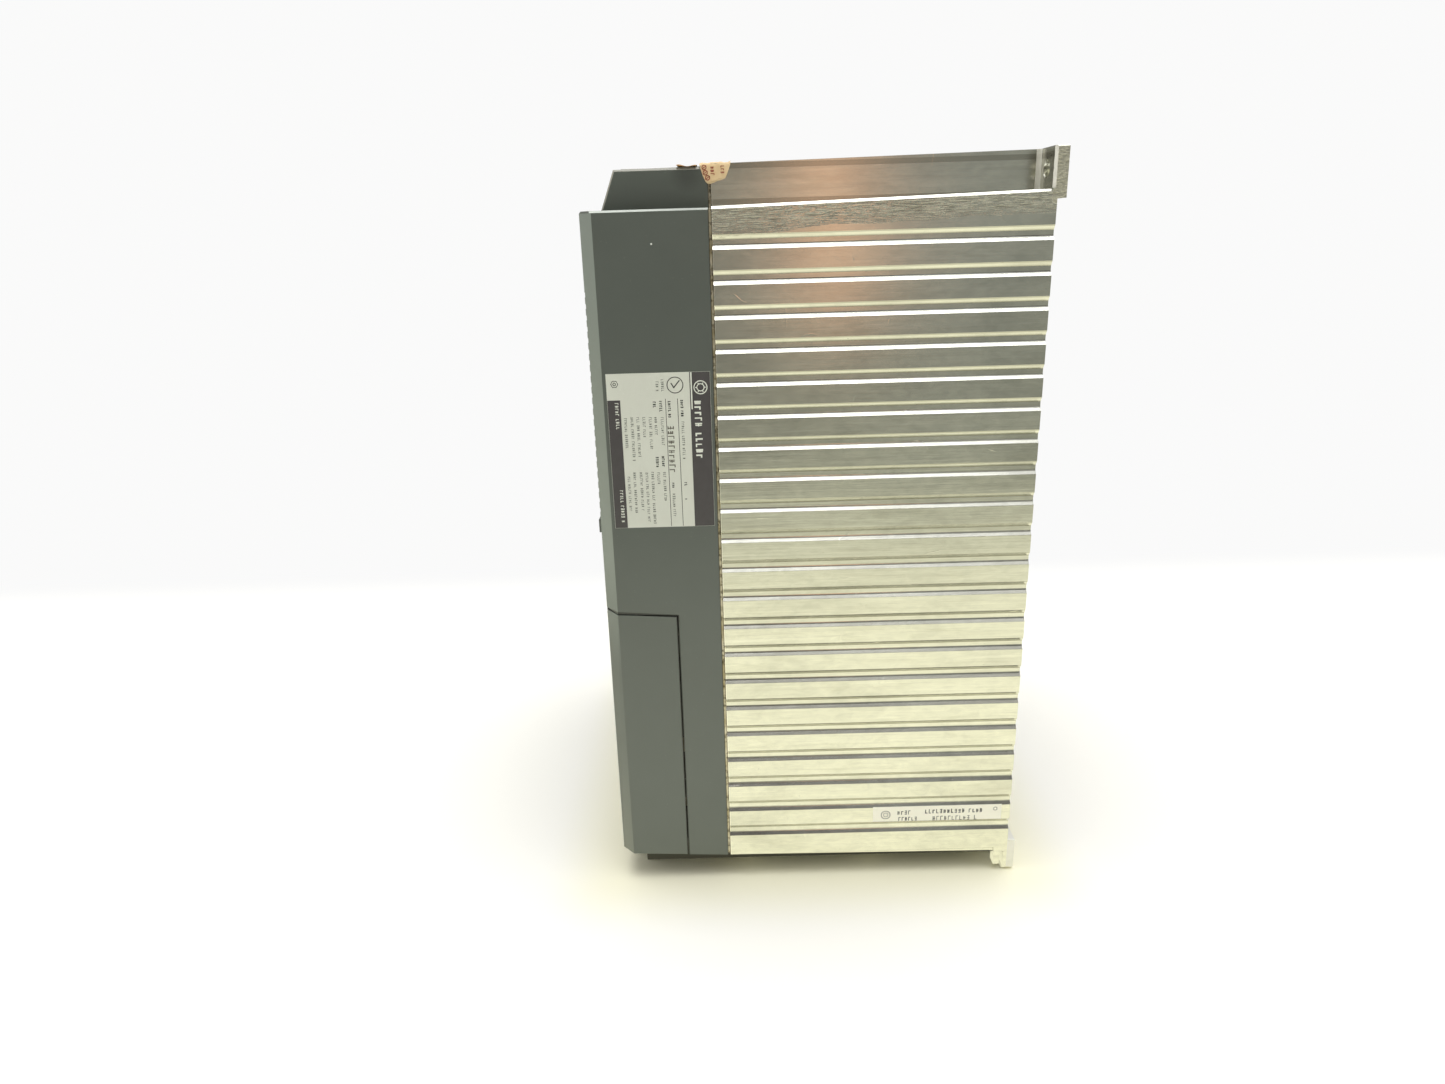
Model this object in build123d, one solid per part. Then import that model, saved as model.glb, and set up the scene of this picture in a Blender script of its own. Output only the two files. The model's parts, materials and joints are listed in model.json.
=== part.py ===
from build123d import *
import os
import math

# Wall-mounted variable frequency drive.
# Row frame: +Z up, -Y is the front (keypad side), +Y the mounting wall, X is the width.
# Origin: centre of the footprint on the surface that the drive stands on. Millimetres.

# ---------------------------------------------------------------- driving sizes
HALF_W = 125.0            # half of the overall width
RECESS = 20.0             # corner notch depth beside the top cap
CAP_X = HALF_W - RECESS   # half width of the top cap
FRONT = -108.5            # front face of the plastic cover
SEAM = -50.0              # back edge of the plastic cover
PLATE_T = 1.6             # zinc-chromated frame plate
CAST_Y = SEAM + PLATE_T   # front edge of the cast housing
REAR = 105.5              # rear plane of the cast housing
FLANGE_REAR = 109.5       # wall side of the mounting flanges and ears
FLANGE_T = 6.2
EAR_T = 6.0
MOUNT_X = 114.0           # half spacing of the mounting holes
MOUNT_R = 4.25
HOLE_Z = 367.6            # height of the top mounting holes

CAST_Z0_FRONT, CAST_Z0_REAR = 14.0, 12.4       # casting draft, lower edge
LEDGE_FRONT, LEDGE_REAR = 355.4, 358.6         # notch ledge
TOP_FRONT, TOP_REAR = 374.5, 376.5             # casting top edge
WALL = 4.0
GROOVE_PITCH = 15.5
GROOVE_N = 21
GROOVE_Z = 337.5          # upper edge of the rib below the first groove
GROOVE_D = 1.5
# half section of one groove, as depth below the rib face and height above GROOVE_Z:
# a 40 degree lower flank, a small fillet, a flat floor and a 34 degree upper flank
GROOVE_PROFILE = ((0.0, -0.6), (1.13, 0.75), (1.38, 1.15), (GROOVE_D, 1.6), (GROOVE_D, 3.7), (0.0, 5.9))

COVER_WALL = 2.5
CHAMFER = 6.2
COVER_LEDGE = 355.0
TERM_SPLIT_Y = -71.6      # depth at which the terminal cover ends
TERM_TOP = 159.3
GAP = 0.3
TERM_GAP = 0.55

FAN_X = 45.0
FAN_Y = 73.0
FAN_Z0, FAN_Z1 = 17.3, 42.3
CONDUIT_R = 13.5
CONDUIT_Y = -74.0
CONDUIT_X = (-62.0, 0.0, 62.0)


# ---------------------------------------------------------------- helpers
def box(x0, x1, y0, y1, z0, z1):
    return Pos((x0 + x1) / 2, (y0 + y1) / 2, (z0 + z1) / 2) * Box(abs(x1 - x0), abs(y1 - y0), abs(z1 - z0))


def yz(points, x0, x1):
    """Profile in the YZ plane, extruded along X."""
    face = make_face(Polyline(*points, close=True))
    return Pos(x0, 0, 0) * extrude(Plane.YZ * face, amount=x1 - x0)


def xz(points, y0, y1):
    """Profile in the XZ plane, extruded along Y."""
    face = make_face(Polyline(*points, close=True))
    return Pos(0, y1, 0) * extrude(Plane.XZ * face, amount=y1 - y0)


def xy(points, z0, z1):
    """Profile in the XY plane, extruded along Z."""
    face = make_face(Polyline(*points, close=True))
    return Pos(0, 0, z0) * extrude(Plane.XY * face, amount=z1 - z0)


def cyl_y(x, z, r, y0, y1):
    return Pos(x, (y0 + y1) / 2, z) * Rot(90, 0, 0) * Cylinder(r, abs(y1 - y0))


def cyl_z(x, y, r, z0, z1):
    return Pos(x, y, (z0 + z1) / 2) * Cylinder(r, abs(z1 - z0))


def cyl_x(y, z, r, x0, x1):
    return Pos((x0 + x1) / 2, y, z) * Rot(0, 90, 0) * Cylinder(r, abs(x1 - x0))


def hex_y(x, z, af, y0, y1):
    r = af / math.sqrt(3)
    pts = [(x + r * math.cos(math.radians(60 * i + 30)), z + r * math.sin(math.radians(60 * i + 30))) for i in range(6)]
    return xz(pts, y0, y1)


os.makedirs("parts", exist_ok=True)


def save(name, shape):
    if isinstance(shape, (list, tuple)):
        solids = []
        for s in shape:
            solids += list(s.solids())
        shape = Compound(children=solids)
    else:
        solids = list(shape.solids())
        shape = solids[0] if len(solids) == 1 else Compound(children=solids)
    shape.label = name
    export_step(shape, f"parts/{name}.step")


# ---------------------------------------------------------------- cast side walls
def ledge_z(y):
    return LEDGE_FRONT + (LEDGE_REAR - LEDGE_FRONT) * (y - CAST_Y) / (REAR - CAST_Y)


def side_wall():
    lower = yz([(CAST_Y, CAST_Z0_FRONT), (REAR, CAST_Z0_REAR), (REAR, LEDGE_REAR), (CAST_Y, LEDGE_FRONT)],
               HALF_W - WALL, HALF_W)
    ledge = yz([(CAST_Y, LEDGE_FRONT - WALL), (REAR, LEDGE_REAR - WALL), (REAR, LEDGE_REAR), (CAST_Y, LEDGE_FRONT)],
               CAP_X - WALL, HALF_W)
    upper = yz([(CAST_Y, LEDGE_FRONT - 2), (REAR, LEDGE_REAR - 2), (REAR, TOP_REAR), (CAST_Y, TOP_FRONT)],
               CAP_X - WALL, CAP_X)
    foot = box(104, HALF_W - 1, CAST_Y, REAR, 14.2, 17.2)
    rail = box(113, HALF_W - 1, 28, 34, 20, 350)
    flange = xz([(CAP_X - WALL, LEDGE_REAR - WALL), (HALF_W, LEDGE_REAR - WALL), (HALF_W, TOP_REAR - 0.5),
                 (HALF_W - 0.5, TOP_REAR), (CAP_X - WALL, TOP_REAR)], FLANGE_REAR - FLANGE_T, FLANGE_REAR)
    web = box(CAP_X - WALL, CAP_X, REAR - 4, FLANGE_REAR, LEDGE_REAR - 2, TOP_REAR)
    # gusset that blends the flange into the recessed wall
    gusset = xy([(CAP_X - 1, FLANGE_REAR - FLANGE_T - 2.4), (CAP_X, FLANGE_REAR - FLANGE_T - 1.8), (CAP_X + 0.5, FLANGE_REAR - FLANGE_T - 0.6),
                 (CAP_X + 1.8, FLANGE_REAR - FLANGE_T), (CAP_X + 1.8, FLANGE_REAR - FLANGE_T + 0.5),
                 (CAP_X - 1, FLANGE_REAR - FLANGE_T + 0.5)], LEDGE_REAR - 1, TOP_REAR - 0.15)
    # gusset top must stay inside the sloping top edge
    ear = box(99, HALF_W, FLANGE_REAR - EAR_T, FLANGE_REAR, 0, 19.5)
    lug = box(119, HALF_W, 98.2, 101.4, 4.0, 16.0)
    wall = lower + ledge + upper + foot + rail + flange + web + gusset + ear + lug
    cuts = []
    for n in range(GROOVE_N):
        z = GROOVE_Z - GROOVE_PITCH * n
        section = [(HALF_W + 1, z - 1.8)] + [(HALF_W - d, z + h) for d, h in GROOVE_PROFILE] + [(HALF_W + 1, z + 7.2)]
        cuts.append(xz(section, CAST_Y - 1, FLANGE_REAR + 1))
    # narrow bevel along the lower edge
    cuts.append(xz([(HALF_W - 1.0, 10.0), (HALF_W + 1, 10.0), (HALF_W + 1, 14.9), (HALF_W, 14.9), (HALF_W - 1.0, 13.9)],
                   CAST_Y - 1, 98.0))
    # bevel along the outer edge of the sloping notch ledge
    slope = math.degrees(math.atan2(LEDGE_REAR - LEDGE_FRONT, REAR - CAST_Y))
    bevel = xz([(HALF_W - 1.1, 0.0), (HALF_W, -1.1), (HALF_W + 1, -2.4), (HALF_W + 1, 2.0), (HALF_W - 1.1, 2.0)], -2, 151)
    cuts.append(Pos(0, CAST_Y, LEDGE_FRONT) * Rot(slope, 0, 0) * bevel)
    # bevel along the outer front edge of the flange
    y0 = FLANGE_REAR - FLANGE_T
    cuts.append(xy([(HALF_W - 1.3, y0 - 1), (HALF_W + 1, y0 - 1), (HALF_W + 1, y0 + 1.3), (HALF_W, y0 + 1.3), (HALF_W - 1.3, y0)],
                   LEDGE_REAR + 0.3, 380))
    # mounting hole in the flange
    cuts.append(cyl_y(MOUNT_X, HOLE_Z, MOUNT_R, FLANGE_REAR - FLANGE_T - 8, FLANGE_REAR + 1))
    # open U slot in the ear
    cuts.append(box(MOUNT_X - MOUNT_R, MOUNT_X + MOUNT_R, FLANGE_REAR - EAR_T - 1, FLANGE_REAR + 1, -1, 9.5))
    cuts.append(cyl_y(MOUNT_X, 9.5, MOUNT_R, FLANGE_REAR - EAR_T - 1, FLANGE_REAR + 1))
    # rounded prong tips, as chamfers
    for xa, s, c in ((HALF_W, 1, 2.2), (99.0, -1, 2.2)):
        cuts.append(xz([(xa - s * c, -0.01), (xa + s * 1, -0.01), (xa + s * 1, c), (xa, c)],
                       FLANGE_REAR - EAR_T - 1, FLANGE_REAR + 1))
    # clearance holes for the heat sink screws
    for z in SINK_SCREW_Z:
        cuts.append(cyl_y(117, z, 2.1, 27, 35))
    return wall - cuts


SINK_SCREW_Z = (40.0, 143.0, 246.0, 340.0)

SERIAL = (30.3, 100.8, 33.5, 42.7)      # label pocket on one rib of the right wall
RATING = (-100.6, -51.4, 206.8, 282.6)  # label pocket on the right side of the cover
LABEL_T = 0.2
plain = side_wall()
left = mirror(plain, Plane.YZ)
right = plain - box(HALF_W - LABEL_T, HALF_W + 1, *SERIAL)
save("side_wall_right", right)
save("side_wall_left", left)

# ---------------------------------------------------------------- heat sink
sink = box(-120.8, 120.8, 34, 42, 20, 350)
fins = [box(-104 + i * 10.4 - 1.2, -104 + i * 10.4 + 1.2, 41.5, 104.5, 46.5, 350) for i in range(21)]
sink = sink + fins
holes = [cyl_y(s * 117, z, 2.1, 33, 43) for z in SINK_SCREW_Z for s in (-1, 1)]
PILLARS = [(-108.5, 30.0), (108.5, 30.0), (-108.5, 276.0), (108.5, 276.0)]
sink = sink - holes
save("heat_sink", sink)
chassis_screws = [cyl_y(s * 117, z, 2.0, 29, 42) + cyl_y(s * 117, z, 3.5, 42, 45)
                  for z in SINK_SCREW_Z for s in (-1, 1)]

# ---------------------------------------------------------------- top grille
grille = box(-100.8, 100.8, CAST_Y, 104.5, 368.0, 369.5)
grille += box(-100.8, -99.4, -40, 100, 357, 369.5)
grille += box(99.4, 100.8, -40, 100, 357, 369.5)
slots = []
for i in range(9):
    x = -88 + i * 22
    for y0, y1 in ((-40, -2), (6, 44), (52, 96)):
        slots.append(box(x - 8, x + 8, y0, y1, 366, 371))
bars = []
for i in range(9):
    x = -88 + i * 22
    for k in range(2):
        xx = x - 8 + 5.33 * (k + 1)
        bars.append(box(xx - 0.9, xx + 0.9, -40, 96, 368.0, 369.5))
grille = grille - slots + bars
save("top_grille", grille)

# ---------------------------------------------------------------- bottom tray and gland plate
outer = box(-108, 108, -97, 102, 0, 12.4)
inner = box(-106.4, 106.4, -95.4, 100.4, -1, 13)
tray = outer - inner
deck = box(-119, 119, CAST_Y, 102, 12.4, 13.9)
deck -= [cyl_z(s * FAN_X, FAN_Y, 28.0, 11, 15) for s in (-1, 1)]
vents = [box(-96 + i * 12 - 4, -96 + i * 12 + 4, -38, 26, 12, 15) for i in range(17)]
deck -= vents
deck -= [cyl_z(s * 112, y, 2.2, 11, 15) for s in (-1, 1) for y in (-38.0, 30.0, 92.0)]
tray = tray + deck
save("bottom_tray", tray)
gland = box(-108, 108, -97, SEAM - 0.4, 12.4, 13.9)
gland -= [cyl_z(x, CONDUIT_Y, CONDUIT_R, 11, 15) for x in CONDUIT_X]
gland -= [cyl_z(s * 100, y, 2.1, 11, 15) for s in (-1, 1) for y in (-90.0, -56.0)]
save("gland_plate", gland)
save("base_screws", [cyl_z(s * 100, y, 2.0, 9.5, 13.9) + cyl_z(s * 100, y, 3.6, 13.9, 16.1)
                     for s in (-1, 1) for y in (-90.0, -56.0)]
     + [cyl_z(s * 112, y, 2.05, 12.4, 14.2) + cyl_z(s * 112, y, 4.0, 10.2, 12.4)
        for s in (-1, 1) for y in (-38.0, 30.0, 92.0)])

# ---------------------------------------------------------------- frame plate
COVER_SCREWS = [(-112.0, 345.0), (112.0, 345.0), (-112.0, 170.0), (112.0, 170.0)]
TERM_SCREWS = [(-112.0, 50.0), (112.0, 50.0)]
plate = xz([(-124.4, 15.2), (124.4, 15.2), (124.4, 354.6), (104.6, 354.6), (104.6, 371.0),
            (-104.6, 371.0), (-104.6, 354.6), (-124.4, 354.6)], SEAM, CAST_Y)
plate += [cyl_y(x, z, 4.2, CAST_Y - 0.1, CAST_Y + 5) for x, z in COVER_SCREWS + TERM_SCREWS]
plate -= [cyl_y(x, z, 2.3, SEAM - 1, CAST_Y + 6) for x, z in COVER_SCREWS + TERM_SCREWS]
plate -= [box(-34, 34, SEAM - 1, CAST_Y + 1, 182, 198)]
plate -= [box(-96 + 16 * i, -96 + 16 * i + 8, SEAM - 1, CAST_Y + 1, 286, 336) for i in range(13)]
plate -= [cyl_y(x, z, 2.1, SEAM - 1, CAST_Y + 1) for x, z in PILLARS]
# openings behind the power terminals
plate -= [box(-100 + 17 * i + 2, -100 + 17 * i + 13, SEAM - 1, CAST_Y + 1, 60, 74) for i in range(9)]
save("frame_plate", plate)
save("frame_plate_pillars", [hex_y(x, z, 7.0, CAST_Y, 34) - cyl_y(x, z, 2.1, CAST_Y - 1, CAST_Y + 9)
                             for x, z in PILLARS])
chassis_screws += [cyl_y(x, z, 2.0, SEAM, CAST_Y + 7) + cyl_y(x, z, 3.6, SEAM - 2.4, SEAM)
                   for x, z in PILLARS]

# ---------------------------------------------------------------- cooling fans
bracket = box(-112, 112, 43, 103.4, 42.6, 44.1) + box(-98.5, 98.5, 103.0, 104.5, 17.4, 44.1)
bracket -= [cyl_z(s * FAN_X, FAN_Y, 28.2, 41, 46) for s in (-1, 1)]
save("fan_bracket", bracket)
frames, guards = [], []
for s in (-1, 1):
    x = s * FAN_X
    f = box(x - 30, x + 30, FAN_Y - 29.9, FAN_Y + 29.9, FAN_Z0, FAN_Z1)
    f -= cyl_z(x, FAN_Y, 28.2, FAN_Z0 - 1, FAN_Z1 + 1)
    f += cyl_z(x, FAN_Y, 13.0, FAN_Z0, FAN_Z0 + 2.2)
    f += cyl_z(x, FAN_Y, 2.5, FAN_Z0 + 2, FAN_Z0 + 16)
    for a in (20, 110, 200, 290):
        f += Pos(x, FAN_Y, 0) * Rot(0, 0, a) * box(12, 28.8, -1.6, 1.6, FAN_Z0, FAN_Z0 + 2.2)
    f -= [cyl_z(x + dx, FAN_Y + dy, 2.2, FAN_Z0 - 1, FAN_Z1 + 1) for dx in (-25, 25) for dy in (-25, 25)]
    frames.append(f)
    g = None
    for r in (7.0, 13.0, 19.0, 25.0):
        ring = cyl_z(x, FAN_Y, r + 0.7, 15.2, 16.6) - cyl_z(x, FAN_Y, r - 0.7, 14, 18)
        g = ring if g is None else g + ring
    for a in (45, 135, 225, 315):
        g += Pos(x, FAN_Y, 0) * Rot(0, 0, a) * box(6.5, 38.5, -0.7, 0.7, 14.4, 15.9)
    guards.append(g)
save("fan_frames", frames)
save("fan_guards", guards)


def rotor(x):
    hub = cyl_z(x, FAN_Y, 12.5, FAN_Z0 + 3.2, FAN_Z1 - 1.5) - cyl_z(x, FAN_Y, 2.56, FAN_Z0, FAN_Z0 + 16.5)
    out = hub
    for i in range(7):
        blade = Rot(32, 0, 0) * Box(16.0, 17.0, 1.4)
        blade = Pos(19.2, 0, 0) * blade
        out += Pos(x, FAN_Y, (FAN_Z0 + FAN_Z1) / 2 + 1.0) * Rot(0, 0, i * 360 / 7) * blade
    return out & cyl_z(x, FAN_Y, 27.3, FAN_Z0 + 3.2, FAN_Z1 - 1.5)


save("fan_rotor_left", rotor(-FAN_X))
save("fan_rotor_right", rotor(FAN_X))

# ---------------------------------------------------------------- power electronics on the sink
pm = box(-104, -8, 14, 34, 118, 196)
pm -= [cyl_y(x, z, 2.8, 13, 35) for x in (-99.5, -12.5) for z in (122.5, 191.5)]
pm += [box(-90 + 15 * i, -83 + 15 * i, 9.0, 14.5, 122, 130) for i in range(5)]
pm += [box(-90 + 15 * i, -83 + 15 * i, 9.0, 14.5, 184, 192) for i in range(5)]
save("inverter_module", pm)
rm = box(8, 78, 14, 34, 118, 160)
rm -= [cyl_y(x, 139, 2.8, 13, 35) for x in (12.5, 73.5)]
rm += [box(20 + 11 * i, 27 + 11 * i, 9.0, 14.5, 146, 158) for i in range(5)]
save("rectifier_module", rm)
chassis_screws += [cyl_y(x, z, 2.6, 20, 34) + cyl_y(x, z, 4.2, 10.5, 14) - cyl_y(x, z, 1.8, 10, 12.4)
                   for x, z in [(-99.5, 122.5), (-99.5, 191.5), (-12.5, 122.5), (-12.5, 191.5),
                                (12.5, 139.0), (73.5, 139.0)]]

CAP_Z = 312.0
CAP_XS = (-87.0, -29.0, 29.0, 87.0)
caps = []
for x in CAP_XS:
    c = cyl_y(x, CAP_Z, 25.0, -43.0, 31.0)
    c -= cyl_y(x, CAP_Z, 23.0, -44.0, -41.5)
    c += [cyl_y(x, CAP_Z + d, 4.5, -46.0, -41.0) for d in (-11, 11)]
    caps.append(c)
save("bus_capacitors", caps)
cb = box(-118, 118, -14, -12, 283, 341)
cb += box(-118, -116.5, -12.5, 4, 283, 341) + box(116.5, 118, -12.5, 4, 283, 341)
cb -= [cyl_y(x, CAP_Z, 25.3, -16, -10) for x in CAP_XS]
save("capacitor_bracket", cb)
bars = []
for d in (-11, 11):
    b = box(-95, 95, -47.6, -46.0, CAP_Z + d - 5, CAP_Z + d + 5)
    b += box(-118 if d < 0 else 108, -108 if d < 0 else 118, -47.6, -46.0, CAP_Z + d - 5, CAP_Z + d + 5)
    b += box(-118, -90, -47.6, -46.0, CAP_Z + d - 5, CAP_Z + d + 5) if d < 0 else \
        box(90, 118, -47.6, -46.0, CAP_Z + d - 5, CAP_Z + d + 5)
    bars.append(b)
save("bus_bars", bars)

pb = box(-103, 103, 2.0, 3.6, 62, 266)
pb -= [cyl_y(x, z, 2.0, 1, 5) for x in (-97, 97) for z in (68, 110, 205, 260)]
save("power_board", pb)
standoffs = [hex_y(x, z, 6.0, 3.6, 34) for x in (-97, 97) for z in (68, 205, 260)] + [hex_y(97, 110, 6.0, 3.6, 34)]
save("charge_relay", box(62, 94, -22, 2.0, 206, 232))
save("charge_resistor", box(36, 52, -12, 2.0, 186, 246))
save("current_sensors", [box(x - 13, x + 13, -20, 2.0, 78, 104)
                         - cyl_y(x, 91, 5.0, -22, 4) for x in (-70.0, -20.0)])
save("snubber_capacitors", [box(x - 6, x + 6, -16, 2.0, 150, 182) for x in (-84.0, -62.0, -40.0, -18.0)])
tr = box(-28, 12, -30, 2.0, 214, 252)
tr += box(-22, 6, -34, -29, 220, 246)
save("supply_transformer", tr)
save("filter_capacitors", [cyl_y(x, z, 6.3, -22, 2.0) for x, z in
                           ((-86.0, 222.0), (-70.0, 222.0), (-54.0, 222.0), (-86.0, 242.0), (-70.0, 242.0))])
save("gate_driver_chips", [box(x - 4, x + 4, -2.0, 2.0, 124, 142) for x in (-92.0, -76.0, -60.0, -44.0, -28.0, -12.0)])

# ---------------------------------------------------------------- control board
ctl = box(-100, 100, -64.0, -62.4, 172, 344)
ctl -= [cyl_y(x, z, 1.8, -66, -60) for x in (-94, 94) for z in (182, 262, 338)]
save("control_board", ctl)
save("board_standoffs", standoffs + [cyl_y(x, z, 3.2, -62.4, SEAM) for x in (-94, 94) for z in (182, 262, 338)])
chassis_screws += [cyl_y(x, z, 1.7, -64.0, -62.4) + cyl_y(x, z, 3.1, -66.0, -64.0)
                   for x in (-94, 94) for z in (182, 262, 338)]
save("chassis_screws", chassis_screws)
chips = [box(-62, -34, -67.5, -64.0, 288, 316), box(-20, -4, -67.5, -64.0, 296, 332), box(8, 24, -67.5, -64.0, 296, 332),
         box(40, 62, -66.5, -64.0, 240, 262), box(-72, -60, -66.5, -64.0, 230, 250), box(-48, -36, -66.5, -64.0, 230, 250),
         box(52, 84, -74.0, -64.0, 300, 318), box(-86, -66, -72.0, -64.0, 186, 200), box(-58, -38, -72.0, -64.0, 186, 200)]
save("control_board_chips", chips)
save("riser_connector", box(-15, 15, -91.0, -64.0, 262, 269))
rib = box(-30, 30, -56.0, -55.2, 189.2, 200) + box(-30, 30, -56.0, 1.0, 189.2, 190.0)
rib += box(-31, 31, -62.4, -55.0, 192, 199.5)
rib += box(-31, 31, -4.0, 2.0, 185, 190)
save("ribbon_cable", rib)

# ---------------------------------------------------------------- terminals
TB_X = [-92.0 + 17.0 * i for i in range(9)]
tb = box(-102, 53, -70, SEAM, 48, 86)
tb += [box(x - 9.3, x - 7.7, -79, -69, 48, 86) for x in TB_X + [TB_X[-1] + 17.0]]
tb -= [cyl_y(x, 60, 2.1, -71, -58) for x in TB_X]
save("power_terminal_block", tb)
save("power_terminal_screws", [cyl_y(x, 60, 2.0, -70, -59) + cyl_y(x, 60, 4.2, -73.2, -70) - box(x - 3.4, x + 3.4, -74, -72.1, 59.4, 60.6)
                               for x in TB_X])
save("ground_terminals", [box(x - 8, x + 8, -54.5, SEAM, 50, 72) + cyl_y(x, 61, 5.0, -58.5, -54.0)
                          - box(x - 4, x + 4, -59, -57.2, 60.3, 61.7) for x in (68.0, 90.0)])
ct = box(-96, 96, -62, SEAM, 112, 134)
ct += [box(-96 + 9.6 * i - 0.5, -96 + 9.6 * i + 0.5, -66, -61.5, 112, 134) for i in range(1, 20)]
ct -= [box(-96 + 9.6 * i + 2.4, -96 + 9.6 * i + 7.2, -58, -51.6, 111, 118) for i in range(20)]
save("control_terminal_block", ct)
save("control_terminal_screws", [cyl_y(-96 + 9.6 * i + 4.8, 126, 2.6, -64, -62)
                                 - box(-96 + 9.6 * i + 2.7, -96 + 9.6 * i + 6.9, -65, -63.1, 125.6, 126.4)
                                 for i in range(20)])

# ---------------------------------------------------------------- front cover
def shell_xy(x, front, back, c):
    return [(-x, back), (-x, front + c), (-x + c, front), (x - c, front), (x, front + c), (x, back)]


def cover_bottom(y):
    return 17.0 + (14.6 - 17.0) * (y - FRONT) / (SEAM - FRONT)


body = xy(shell_xy(HALF_W, FRONT, SEAM, CHAMFER), 10, COVER_LEDGE)
cap_pts = [(-100.2, COVER_LEDGE - 3), (-100.2, COVER_LEDGE), (-93.4, 373.1), (SEAM, 373.6), (SEAM, COVER_LEDGE - 3)]
cap = yz(cap_pts, -CAP_X, CAP_X)
# small bevels along the side edges of the cap
CAP_BEVEL = 0.8
cap &= xz([(-CAP_X, 350), (-CAP_X, 373.1 - CAP_BEVEL), (-CAP_X + CAP_BEVEL + 0.3, 373.4), (-CAP_X + CAP_BEVEL + 0.3, 376),
           (CAP_X - CAP_BEVEL - 0.3, 376), (CAP_X - CAP_BEVEL - 0.3, 373.4), (CAP_X, 373.1 - CAP_BEVEL), (CAP_X, 350)],
          -102, SEAM + 1)
lean = -math.degrees(math.atan2(6.8, 18.1))
for s in (-1, 1):
    prism = xy([(s * (CAP_X - CAP_BEVEL), -2), (s * (CAP_X + 1), -2), (s * (CAP_X + 1), CAP_BEVEL), (s * CAP_X, CAP_BEVEL),
                (s * (CAP_X - CAP_BEVEL), 0)], 0.4, 22)
    cap -= Pos(0, -100.2, COVER_LEDGE) * Rot(lean, 0, 0) * prism
body = body + cap
cavity = xy(shell_xy(HALF_W - COVER_WALL, FRONT + COVER_WALL, SEAM + 1, CHAMFER - 1.0), 9, COVER_LEDGE - COVER_WALL)
cav_cap = yz([(-97.0, COVER_LEDGE - 3), (-97.0, COVER_LEDGE - 1.5), (-91.0, 370.3), (SEAM + 1, 371.0),
              (SEAM + 1, COVER_LEDGE - 3)], -(CAP_X - COVER_WALL), CAP_X - COVER_WALL)
cover = body - cavity - cav_cap
# sloping lower edge
cover -= yz([(FRONT - 2, 0), (SEAM + 2, 0), (SEAM + 2, cover_bottom(SEAM + 2)), (FRONT - 2, cover_bottom(FRONT - 2))],
            -HALF_W - 1, HALF_W + 1)
# room for the terminal cover
cover -= yz([(FRONT - 2, 5), (TERM_SPLIT_Y, 5), (TERM_SPLIT_Y, TERM_TOP), (-103.0, 161.0), (FRONT - 2, 163.2)],
            -HALF_W - 1, HALF_W + 1)
# partition shelf above the terminal chamber, set in from the side walls' inner faces
cover += yz([(FRONT + 2, 162.9), (-103.0, 161.0), (TERM_SPLIT_Y, TERM_TOP), (TERM_SPLIT_Y, TERM_TOP + 2.0),
             (-103.0, 163.0), (FRONT + 2, 164.9)], -(HALF_W - CHAMFER - 1), HALF_W - CHAMFER - 1)
# proud bead under the louvre field
cover += xz([(-HALF_W + 6.5, 202.9), (HALF_W - 6.5, 202.9), (HALF_W - 6.5, 209.5), (-HALF_W + 6.5, 209.5)],
            FRONT - 1.0, FRONT + 0.5)
# raised vent strip on the cap
strip = xz([(-87, 372), (-87, 373.3), (-86, 374.5), (86, 374.5), (87, 373.3), (87, 372)], -91.5, -73.0)
cover += strip
# bosses for the cover screws
cover += [cyl_y(x, z, 5.0, FRONT + 2, SEAM - 0.3) for x, z in COVER_SCREWS]
# louvre grooves, slots and keypad opening
LOUVRE_Z = [214.5 + 5.2 * i for i in range(21)]
cuts = []
for z in LOUVRE_Z:
    for s in (-1, 1):
        cuts.append(box(s * 49, s * 116.5, FRONT - 1, FRONT + 1.2, z - 1.1, z + 1.1))
        cuts.append(box(s * 116, s * (HALF_W + 1), FRONT - 1, FRONT + 0.25, z - 1.1, z + 1.1))
        cuts.append(box(s * 56, s * 106, FRONT - 1, FRONT + 4, z - 0.9, z + 0.9))
cuts.append(box(-42, 42, FRONT - 1, FRONT + 4, 214, 324))
for i in range(14):
    x = -80 + i * 12.3
    cuts.append(box(x - 4.2, x + 4.2, -89.0, -79.0, 368, 377))
    cuts.append(box(x - 4.2, x + 4.2, -72.0, -56.0, 368, 377))
for x, z in COVER_SCREWS:
    cuts.append(cyl_y(x, z, 2.3, FRONT - 1, SEAM + 1))
    cuts.append(cyl_y(x, z, 4.4, FRONT - 1, FRONT + 4.2))
cuts.append(box(HALF_W - LABEL_T, HALF_W + 1, *RATING))
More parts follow.
